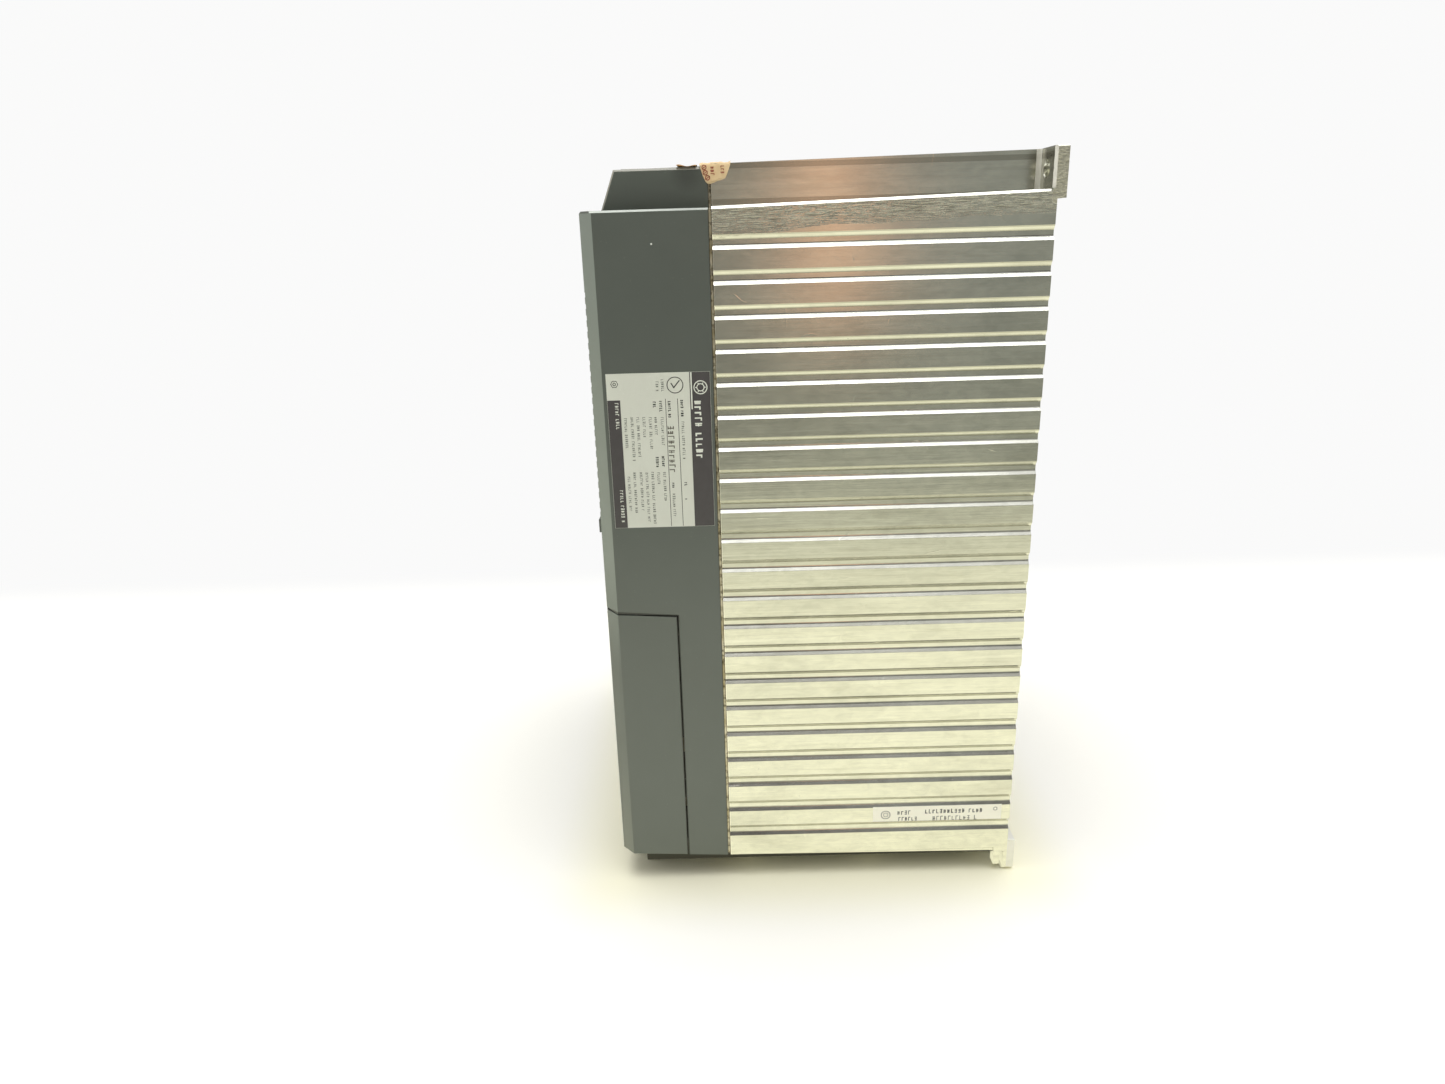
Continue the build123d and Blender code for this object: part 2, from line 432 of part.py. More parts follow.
# bevels along the ledge beside the cap
for s in (-1, 1):
    cuts.append(xz([(s * (HALF_W - 0.9), COVER_LEDGE), (s * (HALF_W - 0.9), COVER_LEDGE + 0.5), (s * (HALF_W + 1), COVER_LEDGE + 0.5),
                    (s * (HALF_W + 1), COVER_LEDGE - 0.9), (s * HALF_W, COVER_LEDGE - 0.9)], FRONT - 1, SEAM + 1))
cuts.append(yz([(FRONT - 1, COVER_LEDGE - 0.9), (FRONT, COVER_LEDGE - 0.9), (FRONT + 0.9, COVER_LEDGE), (FRONT + 0.9, COVER_LEDGE + 0.5),
                (FRONT - 1, COVER_LEDGE + 0.5)], -HALF_W - 1, HALF_W + 1))
cover -= cuts
save("front_cover", cover)
save("cover_screws", [cyl_y(x, z, 2.0, FRONT + 4.2, CAST_Y + 4) + cyl_y(x, z, 4.1, FRONT + 1.6, FRONT + 4.2)
                      - box(x - 3.2, x + 3.2, FRONT + 1, FRONT + 2.7, z - 0.6, z + 0.6)
                      - box(x - 0.6, x + 0.6, FRONT + 1, FRONT + 2.7, z - 3.2, z + 3.2)
                      for x, z in COVER_SCREWS])

# ---------------------------------------------------------------- terminal cover
tc = xy(shell_xy(HALF_W, FRONT, TERM_SPLIT_Y - TERM_GAP, CHAMFER), 5, 175)
tc -= xy(shell_xy(HALF_W - COVER_WALL, FRONT + COVER_WALL, TERM_SPLIT_Y + 2, CHAMFER - 1.0), 4, 176)
lid = xy(shell_xy(HALF_W - 1, FRONT + 1, TERM_SPLIT_Y - TERM_GAP, CHAMFER - 0.5), 150, 175)
lid = lid & yz([(FRONT, 160.2), (-103.0, 158.4), (TERM_SPLIT_Y, 156.6), (TERM_SPLIT_Y, TERM_TOP), (-103.0, 161.0), (FRONT, 162.9)],
               -HALF_W - 1, HALF_W + 1)
tc += lid
trim = yz([(FRONT - 2, cover_bottom(FRONT - 2)), (TERM_SPLIT_Y + 2, cover_bottom(TERM_SPLIT_Y + 2)),
           (TERM_SPLIT_Y + 2, TERM_TOP - TERM_GAP - 0.1), (-103.0, 161.0 - TERM_GAP), (FRONT - 2, 163.2 - TERM_GAP)],
          -HALF_W - 1, HALF_W + 1)
tc = tc & trim
tc += [cyl_y(x, z, 5.0, FRONT + 2, SEAM - 0.4) for x, z in TERM_SCREWS]
for x, z in TERM_SCREWS:
    tc -= cyl_y(x, z, 2.3, FRONT - 1, SEAM + 1)
    tc -= cyl_y(x, z, 4.4, FRONT - 1, FRONT + 4.2)
save("terminal_cover", tc)
save("terminal_cover_screws", [cyl_y(x, z, 2.0, FRONT + 4.2, CAST_Y + 4) + cyl_y(x, z, 4.1, FRONT + 1.6, FRONT + 4.2)
                               - box(x - 3.2, x + 3.2, FRONT + 1, FRONT + 2.7, z - 0.6, z + 0.6)
                               - box(x - 0.6, x + 0.6, FRONT + 1, FRONT + 2.7, z - 3.2, z + 3.2)
                               for x, z in TERM_SCREWS])

# ---------------------------------------------------------------- keypad
KP_Y = FRONT + 0.6        # keypad face, just inside the cover face
kp = box(-41.7, 41.7, KP_Y, -91.0, 214.3, 323.7) - box(-39.7, 39.7, KP_Y + 2.0, -90.0, 216.3, 321.7)
KEYS = {
    "key_program": (-27.0, 273.0, 17.0, 10.0), "key_up": (0.0, 273.0, 17.0, 10.0), "key_reset": (27.0, 273.0, 17.0, 10.0),
    "key_enter": (-27.0, 256.0, 17.0, 10.0), "key_down": (0.0, 256.0, 17.0, 10.0), "key_shift": (27.0, 256.0, 17.0, 10.0),
    "key_run": (-18.5, 232.0, 30.0, 16.0), "key_stop": (18.5, 232.0, 30.0, 16.0),
}
kp -= box(-30, 30, KP_Y - 1, KP_Y + 3, 296, 316)
kp -= [box(x - w / 2 - 0.25, x + w / 2 + 0.25, KP_Y - 1, KP_Y + 3, z - h / 2 - 0.25, z + h / 2 + 0.25)
       for x, z, w, h in KEYS.values()]
kp -= [cyl_y(x, 287.0, 1.6, KP_Y - 1, KP_Y + 3) for x in (-24.0, 0.0, 24.0)]
save("keypad_housing", kp)
save("keypad_window", box(-29.8, 29.8, KP_Y + 0.3, KP_Y + 1.7, 296.2, 315.8))
save("display_module", box(-27, 27, KP_Y + 2.6, -99.5, 297.5, 314.5))
save("keypad_board", box(-38.5, 38.5, -99.5, -97.9, 218, 320))
save("keypad_leds", [cyl_y(x, 287.0, 1.5, KP_Y - 0.3, KP_Y + 4) + cyl_y(x, 287.0, 2.2, KP_Y + 4, -99.5) for x in (-24.0, 0.0, 24.0)])
save("keypad_back", box(-39.5, 39.5, -92.6, -91.2, 216.6, 321.4) - box(-17, 17, -94, -90, 260, 271))
save("keypad_socket", box(-16, 16, -97.9, -91.3, 261, 270))
KEY_TRAVEL = 0.8
KEY_PROUD = 0.9
for name, (x, z, w, h) in KEYS.items():
    front = KP_Y - KEY_PROUD
    k = box(x - w / 2, x + w / 2, front, KP_Y + 2.4, z - h / 2, z + h / 2)
    k += box(x - w / 2 - 0.9, x + w / 2 + 0.9, KP_Y + 2.2, KP_Y + 3.0, z - h / 2 - 0.9, z + h / 2 + 0.9)
    k += cyl_y(x, z, 1.6, KP_Y + 2.9, KP_Y + 3.8)
    k = chamfer(k.faces().sort_by(Axis.Y)[0].edges(), 0.6)
    save(name, k)
save("key_switches", [box(x - 3, x + 3, -101.2, -99.5, z - 3, z + 3) + cyl_y(x, z, 1.5, KP_Y + 3.8 + KEY_TRAVEL + 0.1, -101.1)
                      for x, z, w, h in KEYS.values()])

# ---------------------------------------------------------------- labels
save("rating_label", box(HALF_W - LABEL_T, HALF_W, *RATING))
save("serial_label", box(HALF_W - LABEL_T, HALF_W, *SERIAL))
print("done")
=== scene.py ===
import json
import math
import random

import bmesh
import bpy
from mathutils import Matrix, Vector


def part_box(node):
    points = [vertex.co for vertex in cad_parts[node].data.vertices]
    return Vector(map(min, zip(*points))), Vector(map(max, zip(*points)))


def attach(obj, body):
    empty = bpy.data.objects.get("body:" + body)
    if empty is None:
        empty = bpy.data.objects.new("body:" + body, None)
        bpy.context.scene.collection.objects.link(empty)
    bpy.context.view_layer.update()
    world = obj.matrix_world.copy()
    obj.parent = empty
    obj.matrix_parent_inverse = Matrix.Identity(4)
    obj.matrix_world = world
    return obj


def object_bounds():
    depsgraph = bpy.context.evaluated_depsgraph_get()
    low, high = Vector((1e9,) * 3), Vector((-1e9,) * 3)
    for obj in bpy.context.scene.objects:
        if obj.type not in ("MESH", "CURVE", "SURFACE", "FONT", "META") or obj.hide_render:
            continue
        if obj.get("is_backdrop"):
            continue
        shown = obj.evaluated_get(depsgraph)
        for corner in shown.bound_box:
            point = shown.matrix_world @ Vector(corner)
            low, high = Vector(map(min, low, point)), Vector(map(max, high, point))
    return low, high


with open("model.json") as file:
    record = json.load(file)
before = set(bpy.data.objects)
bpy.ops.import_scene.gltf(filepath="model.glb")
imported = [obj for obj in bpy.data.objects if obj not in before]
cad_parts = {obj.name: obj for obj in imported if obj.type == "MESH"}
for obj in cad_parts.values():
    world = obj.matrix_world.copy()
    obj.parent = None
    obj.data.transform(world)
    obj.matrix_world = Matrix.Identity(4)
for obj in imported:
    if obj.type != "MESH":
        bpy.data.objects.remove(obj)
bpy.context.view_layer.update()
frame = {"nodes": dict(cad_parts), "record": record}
NODES = frame["nodes"]
MM = 0.001
scene = bpy.context.scene


# ------------------------------------------------------------------ node helpers
class Nodes:
    """A thin wrapper that builds a node tree in few lines."""

    def __init__(self, tree):
        self.t = tree

    def new(self, kind, **props):
        n = self.t.nodes.new(kind)
        for k, v in props.items():
            if k.startswith("in_"):
                n.inputs[k[3:].replace("_", " ")].default_value = v
            else:
                setattr(n, k, v)
        return n

    def link(self, a, b):
        self.t.links.new(a, b)
        return a

    def math(self, op, a, b=None, c=None, clamp=False):
        n = self.t.nodes.new("ShaderNodeMath")
        n.operation = op
        n.use_clamp = clamp
        for i, v in enumerate((a, b, c)):
            if v is None:
                continue
            if isinstance(v, (int, float)):
                n.inputs[i].default_value = v
            else:
                self.t.links.new(v, n.inputs[i])
        return n.outputs[0]

    def mix(self, fac, a, b, blend="MIX"):
        n = self.t.nodes.new("ShaderNodeMix")
        n.data_type = "RGBA"
        n.blend_type = blend
        n.clamp_factor = True
        for i, v in ((0, fac), (6, a), (7, b)):
            if isinstance(v, (int, float)):
                n.inputs[i].default_value = v
            elif isinstance(v, (tuple, list)):
                n.inputs[i].default_value = (*v[:3], 1.0)
            else:
                self.t.links.new(v, n.inputs[i])
        return n.outputs[2]

    def fmix(self, fac, a, b):
        n = self.t.nodes.new("ShaderNodeMix")
        n.data_type = "FLOAT"
        n.clamp_factor = True
        for i, v in ((0, fac), (2, a), (3, b)):
            if isinstance(v, (int, float)):
                n.inputs[i].default_value = v
            else:
                self.t.links.new(v, n.inputs[i])
        return n.outputs[0]

    def ramp(self, fac, stops, interp="LINEAR"):
        n = self.t.nodes.new("ShaderNodeValToRGB")
        n.color_ramp.interpolation = interp
        el = n.color_ramp.elements
        while len(el) > 1:
            el.remove(el[-1])
        el[0].position = stops[0][0]
        el[0].color = self._c(stops[0][1])
        for p, c in stops[1:]:
            e = el.new(p)
            e.color = self._c(c)
        self.t.links.new(fac, n.inputs[0])
        return n.outputs[0]

    @staticmethod
    def _c(c):
        return (c, c, c, 1.0) if isinstance(c, (int, float)) else (*c[:3], 1.0)

    def coords(self, scale=(1, 1, 1), rot=(0, 0, 0), loc=(0, 0, 0)):
        tc = self.t.nodes.new("ShaderNodeTexCoord")
        mp = self.t.nodes.new("ShaderNodeMapping")
        mp.inputs["Scale"].default_value = scale
        mp.inputs["Rotation"].default_value = rot
        mp.inputs["Location"].default_value = loc
        self.t.links.new(tc.outputs["Object"], mp.inputs["Vector"])
        return mp.outputs[0]

    def noise(self, vec, scale, detail=2.0, rough=0.5, dist=0.0):
        n = self.t.nodes.new("ShaderNodeTexNoise")
        n.inputs["Scale"].default_value = scale
        n.inputs["Detail"].default_value = detail
        n.inputs["Roughness"].default_value = rough
        n.inputs["Distortion"].default_value = dist
        self.t.links.new(vec, n.inputs["Vector"])
        return n.outputs[0]

    def voronoi(self, vec, scale, feature="F1", rand=1.0):
        n = self.t.nodes.new("ShaderNodeTexVoronoi")
        n.feature = feature
        n.inputs["Scale"].default_value = scale
        n.inputs["Randomness"].default_value = rand
        self.t.links.new(vec, n.inputs["Vector"])
        return n

    def xyz(self):
        tc = self.t.nodes.new("ShaderNodeTexCoord")
        s = self.t.nodes.new("ShaderNodeSeparateXYZ")
        self.t.links.new(tc.outputs["Object"], s.inputs[0])
        return s.outputs[0], s.outputs[1], s.outputs[2]

    def bump(self, height, strength=0.3, distance=0.0002, normal=None):
        n = self.t.nodes.new("ShaderNodeBump")
        n.inputs["Strength"].default_value = strength
        n.inputs["Distance"].default_value = distance
        self.t.links.new(height, n.inputs["Height"])
        if normal is not None:
            self.t.links.new(normal, n.inputs["Normal"])
        return n.outputs[0]

    def edge(self, radius=0.0006):
        """1 on convex edges, 0 on flats, from the bevel node's bent normal."""
        bv = self.t.nodes.new("ShaderNodeBevel")
        bv.samples = 4
        bv.inputs["Radius"].default_value = radius
        g = self.t.nodes.new("ShaderNodeNewGeometry")
        d = self.t.nodes.new("ShaderNodeVectorMath")
        d.operation = "DOT_PRODUCT"
        self.t.links.new(bv.outputs[0], d.inputs[0])
        self.t.links.new(g.outputs["Normal"], d.inputs[1])
        return self.math("SUBTRACT", 1.0, d.outputs["Value"], clamp=True)


def material(name):
    m = bpy.data.materials.new(name)
    m.use_nodes = True
    n = Nodes(m.node_tree)
    bsdf = m.node_tree.nodes["Principled BSDF"]
    return m, n, bsdf


def put(n, bsdf, **sockets):
    for k, v in sockets.items():
        s = bsdf.inputs[k.replace("_", " ")]
        if isinstance(v, (int, float)):
            s.default_value = v
        elif isinstance(v, (tuple, list)):
            s.default_value = (*v[:3], 1.0)
        else:
            n.link(v, s)


def lin(*rgb):
    """sRGB 0-255 to linear."""
    return tuple((c / 255 / 12.92) if c / 255 <= 0.04045 else ((c / 255 + 0.055) / 1.055) ** 2.4 for c in rgb)


# ------------------------------------------------------------------ materials
def plastic(name, col, rough=0.45, tex=2600.0, tex_strength=0.12, var=0.06, spec=0.45, dust=0.0, worn=0.12):
    """Moulded plastic: fine spark texture, slight cloudy variation, worn lighter edges, faint dust."""
    m, n, b = material(name)
    v = n.coords()
    cloud = n.noise(v, 22.0, 3.0, 0.55)
    fine = n.noise(v, tex, 2.0, 0.6)
    big = n.ramp(cloud, [(0.3, 1.0 - var), (0.7, 1.0 + var)])
    base = n.mix(1.0, col, big, "MULTIPLY")
    speck = n.ramp(n.noise(v, 900.0, 1.0, 0.4), [(0.74, 0.0), (0.8, 1.0)])
    base = n.mix(n.math("MULTIPLY", speck, 0.12 + dust), base, tuple(min(1.0, c * 1.8 + 0.05) for c in col))
    e = n.math("MULTIPLY", n.edge(0.0008), worn * 6.0, clamp=True)
    base = n.mix(e, base, tuple(min(1.0, c * 1.5 + 0.015) for c in col))
    r = n.fmix(cloud, rough - 0.05, rough + 0.07)
    put(n, b, Base_Color=base, Roughness=r, Normal=n.bump(fine, tex_strength, 0.00012))
    b.inputs["Specular IOR Level"].default_value = spec
    return m


def cover_plastic():
    """Cover moulding: satin grey, with painted highlight lines along its outer edges, painted light on the corner
    bevel, the cap and the lower part, and a darker patch by the sticker.
    """
    m = plastic("cover_plastic", lin(84, 90, 84), 0.34, 2300.0, 0.08, 0.035, 0.6, 0.02, 0.10)
    n = Nodes(m.node_tree)
    b = m.node_tree.nodes["Principled BSDF"]
    src = b.inputs["Base Color"].links[0].from_socket
    x, y, z = n.xyz()
    ax = n.math("ABSOLUTE", x)

    def gt(a, v):
        return n.math("GREATER_THAN", a, v)

    def lt(a, v):
        return n.math("LESS_THAN", a, v)

    def every(*c):
        out = c[0]
        for k in c[1:]:
            out = n.math("MULTIPLY", out, k)
        return out

    rear = n.ramp(n.math("ADD", n.math("MULTIPLY", y, 10.0), 1.1), [(0.08, 1.0), (0.6, 0.55)])
    highlight_wobble = n.fmix(n.noise(n.coords((1, 60, 60)), 1.0, 3.0, 0.6), 0.6, 1.0)
    # painted highlights: thin light lines along the ledge, the cap's top edges, the vent strip's sloped sides and the
    # slanted edge
    ledge = every(gt(z, 0.35405), lt(z, 0.35508), gt(ax, 0.12405))
    top = every(gt(z, 0.3722), gt(ax, 0.10385), lt(ax, 0.1052))
    pad = every(gt(z, 0.37375), lt(y, -0.0725), gt(ax, 0.0857))
    slant_highlight = every(gt(ax, 0.10405), gt(z, 0.3552), lt(n.math("SUBTRACT", n.math("ADD", y, 0.1002), n.math("MULTIPLY", n.math("SUBTRACT", z, 0.355), 0.3757)), 0.00085))
    corner = every(lt(y, -0.1023), gt(ax, 0.1187), lt(z, 0.35405))
    cap = every(gt(z, 0.3552), lt(ax, 0.1055))
    low = lt(z, 0.1640)
    # painted light: the cap is brightened by 18 % and the cover lightened towards the bottom, standing in for light
    # bounced up from the floor
    light_patch_and_joint_gain = n.math("ADD", 1.0, n.math("MULTIPLY", cap, 0.18))
    light_patch_and_joint_gain = n.math("ADD", light_patch_and_joint_gain, n.ramp(z, [(0.06, 0.30), (0.30, 0.0)]))
    # painted light: the front corner bevel is doubled in brightness above about 0.19 m, as if lit from the front, and
    # dimmed slightly below 0.13 m
    light_patch_and_joint_gain = n.math("MULTIPLY", light_patch_and_joint_gain, n.fmix(corner, 1.0, n.fmix(n.ramp(z, [(0.13, 1.0), (0.19, 0.0)]), 2.0, 0.95)))
    # a darker round patch on the cap beside the tape scrap, darkest within about 2.5 mm and gone by about 9.5 mm
    sticker_patch_dist = n.math("SQRT", n.math("ADD", n.math("POWER", n.math("MULTIPLY", n.math("ADD", y, 0.0592), 1.0), 2.0), n.math("POWER", n.math("SUBTRACT", z, 0.3712), 2.0)))
    light_patch_and_joint_gain = n.math("MULTIPLY", light_patch_and_joint_gain, n.ramp(n.math("MULTIPLY", sticker_patch_dist, 100.0), [(0.25, 0.66), (0.95, 1.0)]))
    joint = every(lt(n.math("ABSOLUTE", n.math("ADD", y, 0.0719)), 0.00075), lt(z, 0.1592))
    lid = n.math("SUBTRACT", z, n.math("ADD", 0.1593, n.math("MULTIPLY", n.math("MAXIMUM", n.math("MULTIPLY", n.math("ADD", y, 0.0716), -1.0), 0.0), 0.078)))
    joint = n.math("MAXIMUM", joint, every(lt(n.math("ABSOLUTE", n.math("ADD", lid, 0.0003)), 0.00075), lt(y, -0.0712)))
    light_patch_and_joint_gain = n.math("MULTIPLY", light_patch_and_joint_gain, n.fmix(joint, 1.0, 0.28))
    base = n.mix(1.0, src, light_patch_and_joint_gain, "MULTIPLY")
    # the painted highlight lines are laid over the base colour in light grey
    base = n.mix(n.math("MULTIPLY", n.math("MULTIPLY", ledge, rear), highlight_wobble), base, lin(206, 214, 206))
    base = n.mix(n.math("MULTIPLY", n.math("MAXIMUM", n.math("MULTIPLY", top, 0.6), n.math("MAXIMUM", n.math("MULTIPLY", slant_highlight, 0.75), n.math("MULTIPLY", pad, 0.8))), highlight_wobble), base, lin(176, 172, 158))
    n.link(base, b.inputs["Base Color"])
    return m


def metal(name, col, rough=0.28, streak=None, tex=0.1, var=0.08, aniso=0.0):
    """Bare or plated metal: brushed streaks, blotches and tiny pits."""
    m, n, b = material(name)
    v = n.coords(streak or (1, 1, 1))
    lines = n.noise(v, 1.0 if streak else 500.0, 4.0, 0.6)
    w = n.coords()
    blot = n.noise(w, 45.0, 3.0, 0.6)
    base = n.mix(1.0, col, n.ramp(blot, [(0.3, 1 - var), (0.7, 1 + var * 0.6)]), "MULTIPLY")
    pit = n.ramp(n.noise(w, 1400.0, 1.0), [(0.24, 1.0), (0.3, 0.0)])
    base = n.mix(n.math("MULTIPLY", pit, 0.5), base, tuple(c * 0.35 for c in col))
    r = n.math("ADD", n.fmix(blot, rough - 0.06, rough + 0.08), n.math("MULTIPLY", lines, 0.08))
    put(n, b, Base_Color=base, Metallic=1.0, Roughness=r, Normal=n.bump(lines, tex, 0.0001), Anisotropic=aniso)
    return m


def laminate(name):
    """Green solder-masked board with faint traces, pads and vias."""
    m, n, b = material(name)
    v = n.coords((1, 1, 1))
    g1 = n.voronoi(n.coords((1, 0.02, 1)), 160.0, "DISTANCE_TO_EDGE").outputs[0]
    trace = n.ramp(g1, [(0.035, 1.0), (0.06, 0.0)])
    vor = n.voronoi(n.coords((1, 0.02, 1)), 380.0).outputs["Distance"]
    via = n.ramp(vor, [(0.1, 1.0), (0.16, 0.0)])
    base = n.mix(trace, lin(22, 92, 48), lin(44, 128, 70))
    base = n.mix(n.math("MULTIPLY", via, 0.8), base, lin(190, 180, 120))
    put(n, b, Base_Color=base, Roughness=n.fmix(n.noise(v, 60), 0.22, 0.38),
        Metallic=n.math("MULTIPLY", via, 0.7), Normal=n.bump(trace, 0.25, 0.00005))
    return m


def aluminium_side():
    """Bare cast aluminium wall: drawing streaks along Y, stains, scratches, torn marks under the notch, sawn end of the
    flange, painted shade along the grooves and painted highlights on the front edge and the flange bend.
    """
    m, n, b = material("cast_aluminium_side")
    x, y, z = n.xyz()
    streak = n.noise(n.coords((40, 14, 2600)), 1.0, 4.0, 0.62)
    streak2 = n.noise(n.coords((40, 5, 700), loc=(3, 1, 2)), 1.0, 3.0, 0.6)
    blot = n.noise(n.coords((1, 0.55, 1.3)), 30.0, 4.0, 0.62, 0.4)
    mott = n.noise(n.coords((1, 0.6, 1.2), loc=(7, 3, 5)), 210.0, 3.0, 0.62, 0.5)
    drag = n.noise(n.coords((40, 16, 420), loc=(4, 2, 8)), 1.0, 4.0, 0.7, 0.2)
    stain = n.noise(n.coords((1, 0.4, 1.6), loc=(5, 2, 1)), 85.0, 4.0, 0.7, 0.6)
    tone = n.ramp(blot, [(0.32, 0.86), (0.5, 1.0), (0.72, 1.05)])
    base = n.mix(1.0, (0.715, 0.715, 0.65), tone, "MULTIPLY")
    base = n.mix(1.0, base, n.ramp(mott, [(0.34, 0.945), (0.52, 1.0), (0.68, 1.035)]), "MULTIPLY")
    base = n.mix(n.math("MULTIPLY", n.ramp(drag, [(0.54, 0.0), (0.66, 1.0)]), 0.20), base, (0.46, 0.44, 0.39))
    base = n.mix(n.math("MULTIPLY", n.ramp(drag, [(0.34, 1.0), (0.44, 0.0)]), 0.20), base, (0.92, 0.92, 0.86))
    base = n.mix(n.math("MULTIPLY", n.ramp(stain, [(0.54, 0.0), (0.72, 1.0)]), 0.30), base, (0.52, 0.52, 0.43))
    base = n.mix(n.math("MULTIPLY", n.ramp(streak, [(0.52, 0.0), (0.75, 1.0)]), 0.22), base, (0.50, 0.48, 0.43))
    # painted shade: darker margins along the upper slope of every groove
    ax = n.math("ABSOLUTE", x)
    phase = n.math("FRACT", n.math("DIVIDE", n.math("SUBTRACT", z, 0.0275 - 0.0155), 0.0155))
    groove_shade_band = n.math("MULTIPLY", n.math("GREATER_THAN", phase, 0.232), n.math("LESS_THAN", phase, 0.385))
    margin = n.math("MAXIMUM", n.math("GREATER_THAN", ax, 0.12462), n.math("LESS_THAN", ax, 0.12382))
    margin = n.math("MULTIPLY", n.math("MULTIPLY", margin, groove_shade_band), n.math("LESS_THAN", ax, 0.12496))
    base = n.mix(n.math("MULTIPLY", margin, 0.8), base, (0.42, 0.41, 0.36))
    # scratches: thin contour lines of warped noise
    s1 = n.noise(n.coords((1, 22, 46), rot=(0.5, 0.0, 0.0)), 1.0, 1.5, 0.5, 0.3)
    scr = n.ramp(n.math("ABSOLUTE", n.math("SUBTRACT", s1, 0.5)), [(0.0, 1.0), (0.0045, 0.0)])
    gate = n.ramp(n.noise(n.coords(loc=(9, 4, 3)), 55.0, 2.0), [(0.62, 0.0), (0.68, 1.0)])
    scr = n.math("MULTIPLY", scr, gate)
    s2 = n.noise(n.coords((1, 60, 17), rot=(-0.9, 0.0, 0.0), loc=(2, 8, 1)), 1.0, 1.5, 0.5, 0.4)
    scr2 = n.ramp(n.math("ABSOLUTE", n.math("SUBTRACT", s2, 0.5)), [(0.0, 1.0), (0.003, 0.0)])
    gate2 = n.ramp(n.noise(n.coords(loc=(1, 7, 6)), 40.0, 2.0), [(0.66, 0.0), (0.72, 1.0)])
    scr = n.math("MAXIMUM", scr, n.math("MULTIPLY", scr2, gate2))
    # small nicks
    nick = n.ramp(n.voronoi(n.coords((1, 1, 1.4)), 210.0).outputs["Distance"], [(0.035, 1.0), (0.06, 0.0)])
    nick = n.math("MULTIPLY", nick, n.ramp(n.noise(n.coords(loc=(4, 4, 4)), 25.0, 2.0), [(0.52, 0.0), (0.6, 1.0)]))
    # torn casting marks on the upper part of the first rib
    ledge = n.math("ADD", n.math("MULTIPLY", y, 0.0208), 0.3565)
    below = n.math("SUBTRACT", ledge, z)
    deep = n.ramp(n.math("ADD", n.math("MULTIPLY", y, 10.0), 0.5), [(0.0, 0.0068), (0.55, 0.0030)])
    depth = n.math("ADD", n.math("ADD", 0.0052, deep), n.math("MULTIPLY", n.noise(n.coords((1, 30, 1)), 1.0, 3.0), 0.0042))
    torn_zone = n.math("MULTIPLY", n.math("GREATER_THAN", below, 0.0012), n.math("LESS_THAN", below, depth))
    fray = n.ramp(n.math("DIVIDE", below, depth), [(0.55, 1.0), (1.0, 0.45)])
    torn_n = n.noise(n.coords((1, 130, 1650)), 1.0, 3.0, 0.6, 0.12)
    torn = n.math("MULTIPLY", n.math("MULTIPLY", torn_zone, fray), n.ramp(torn_n, [(0.53, 0.0), (0.60, 1.0)]))
    gouge = n.math("MULTIPLY", n.math("MULTIPLY", torn_zone, fray), n.ramp(torn_n, [(0.38, 1.0), (0.46, 0.0)]))
    # sawn end of the mounting flange and ear
    sawn = n.math("MULTIPLY", n.math("GREATER_THAN", y, 0.1034), n.math("GREATER_THAN", n.math("ABSOLUTE", x), 0.1248))
    sawn = n.math("MULTIPLY", sawn, n.math("GREATER_THAN", z, 0.3525))
    saw_n = n.noise(n.coords((1, 420, 1500), rot=(0.2, 0, 0)), 1.0, 4.0, 0.72, 0.4)
    base = n.mix(n.math("MULTIPLY", torn, 0.5), base, (0.98, 0.97, 0.86))
    base = n.mix(n.math("MULTIPLY", gouge, 0.5), base, (0.26, 0.25, 0.20))
    base = n.mix(n.math("MULTIPLY", sawn, 0.75), base, n.mix(n.ramp(saw_n, [(0.38, 0.0), (0.62, 1.0)]), (0.30, 0.29, 0.24), (0.70, 0.68, 0.57)))
    base = n.mix(n.math("MULTIPLY", scr, 0.22), base, (0.93, 0.92, 0.85))
    base = n.mix(n.math("MULTIPLY", nick, 0.65), base, (0.30, 0.28, 0.24))
    # painted highlight on the front edge beside the seam and along the flange bend, pale root of the ears
    rim = n.math("LESS_THAN", y, -0.0481)
    base = n.mix(n.math("MULTIPLY", rim, 0.8), base, (1.0, 0.99, 0.93))
    # painted highlight: a pale, less metallic band along the flange bend and its edge, above the notch
    notch = n.math("GREATER_THAN", z, 0.3590)
    fold_highlight = n.math("MULTIPLY", n.math("GREATER_THAN", y, 0.1012), n.math("LESS_THAN", y, 0.10322))
    fold_highlight = n.math("MULTIPLY", fold_highlight, n.math("LESS_THAN", ax, 0.1070))
    edge = n.math("MULTIPLY", n.math("GREATER_THAN", ax, 0.1236), n.math("LESS_THAN", y, 0.1045))
    edge = n.math("MULTIPLY", edge, n.math("GREATER_THAN", y, 0.1025))
    fold_highlight = n.math("MULTIPLY", n.math("MAXIMUM", fold_highlight, edge), notch)
    base = n.mix(n.math("MULTIPLY", fold_highlight, 0.8), base, (0.84, 0.82, 0.73))
    pale = n.math("MULTIPLY", n.math("GREATER_THAN", y, 0.1054), n.math("LESS_THAN", z, 0.0300))
    base = n.mix(n.math("MULTIPLY", pale, 0.6), base, (0.95, 0.94, 0.88))
    rough = n.fmix(blot, 0.12, 0.20)
    rough = n.math("ADD", rough, n.math("MULTIPLY", mott, 0.05))
    rough = n.math("ADD", rough, n.math("MULTIPLY", streak2, 0.06))
    rough = n.math("ADD", rough, n.math("MULTIPLY", n.math("MAXIMUM", n.math("MULTIPLY", n.math("MAXIMUM", torn, gouge), 0.5), sawn), 0.25))
    rough = n.math("ADD", rough, n.math("MULTIPLY", pale, 0.3))
    h1 = n.bump(streak, 0.10, 0.00006)
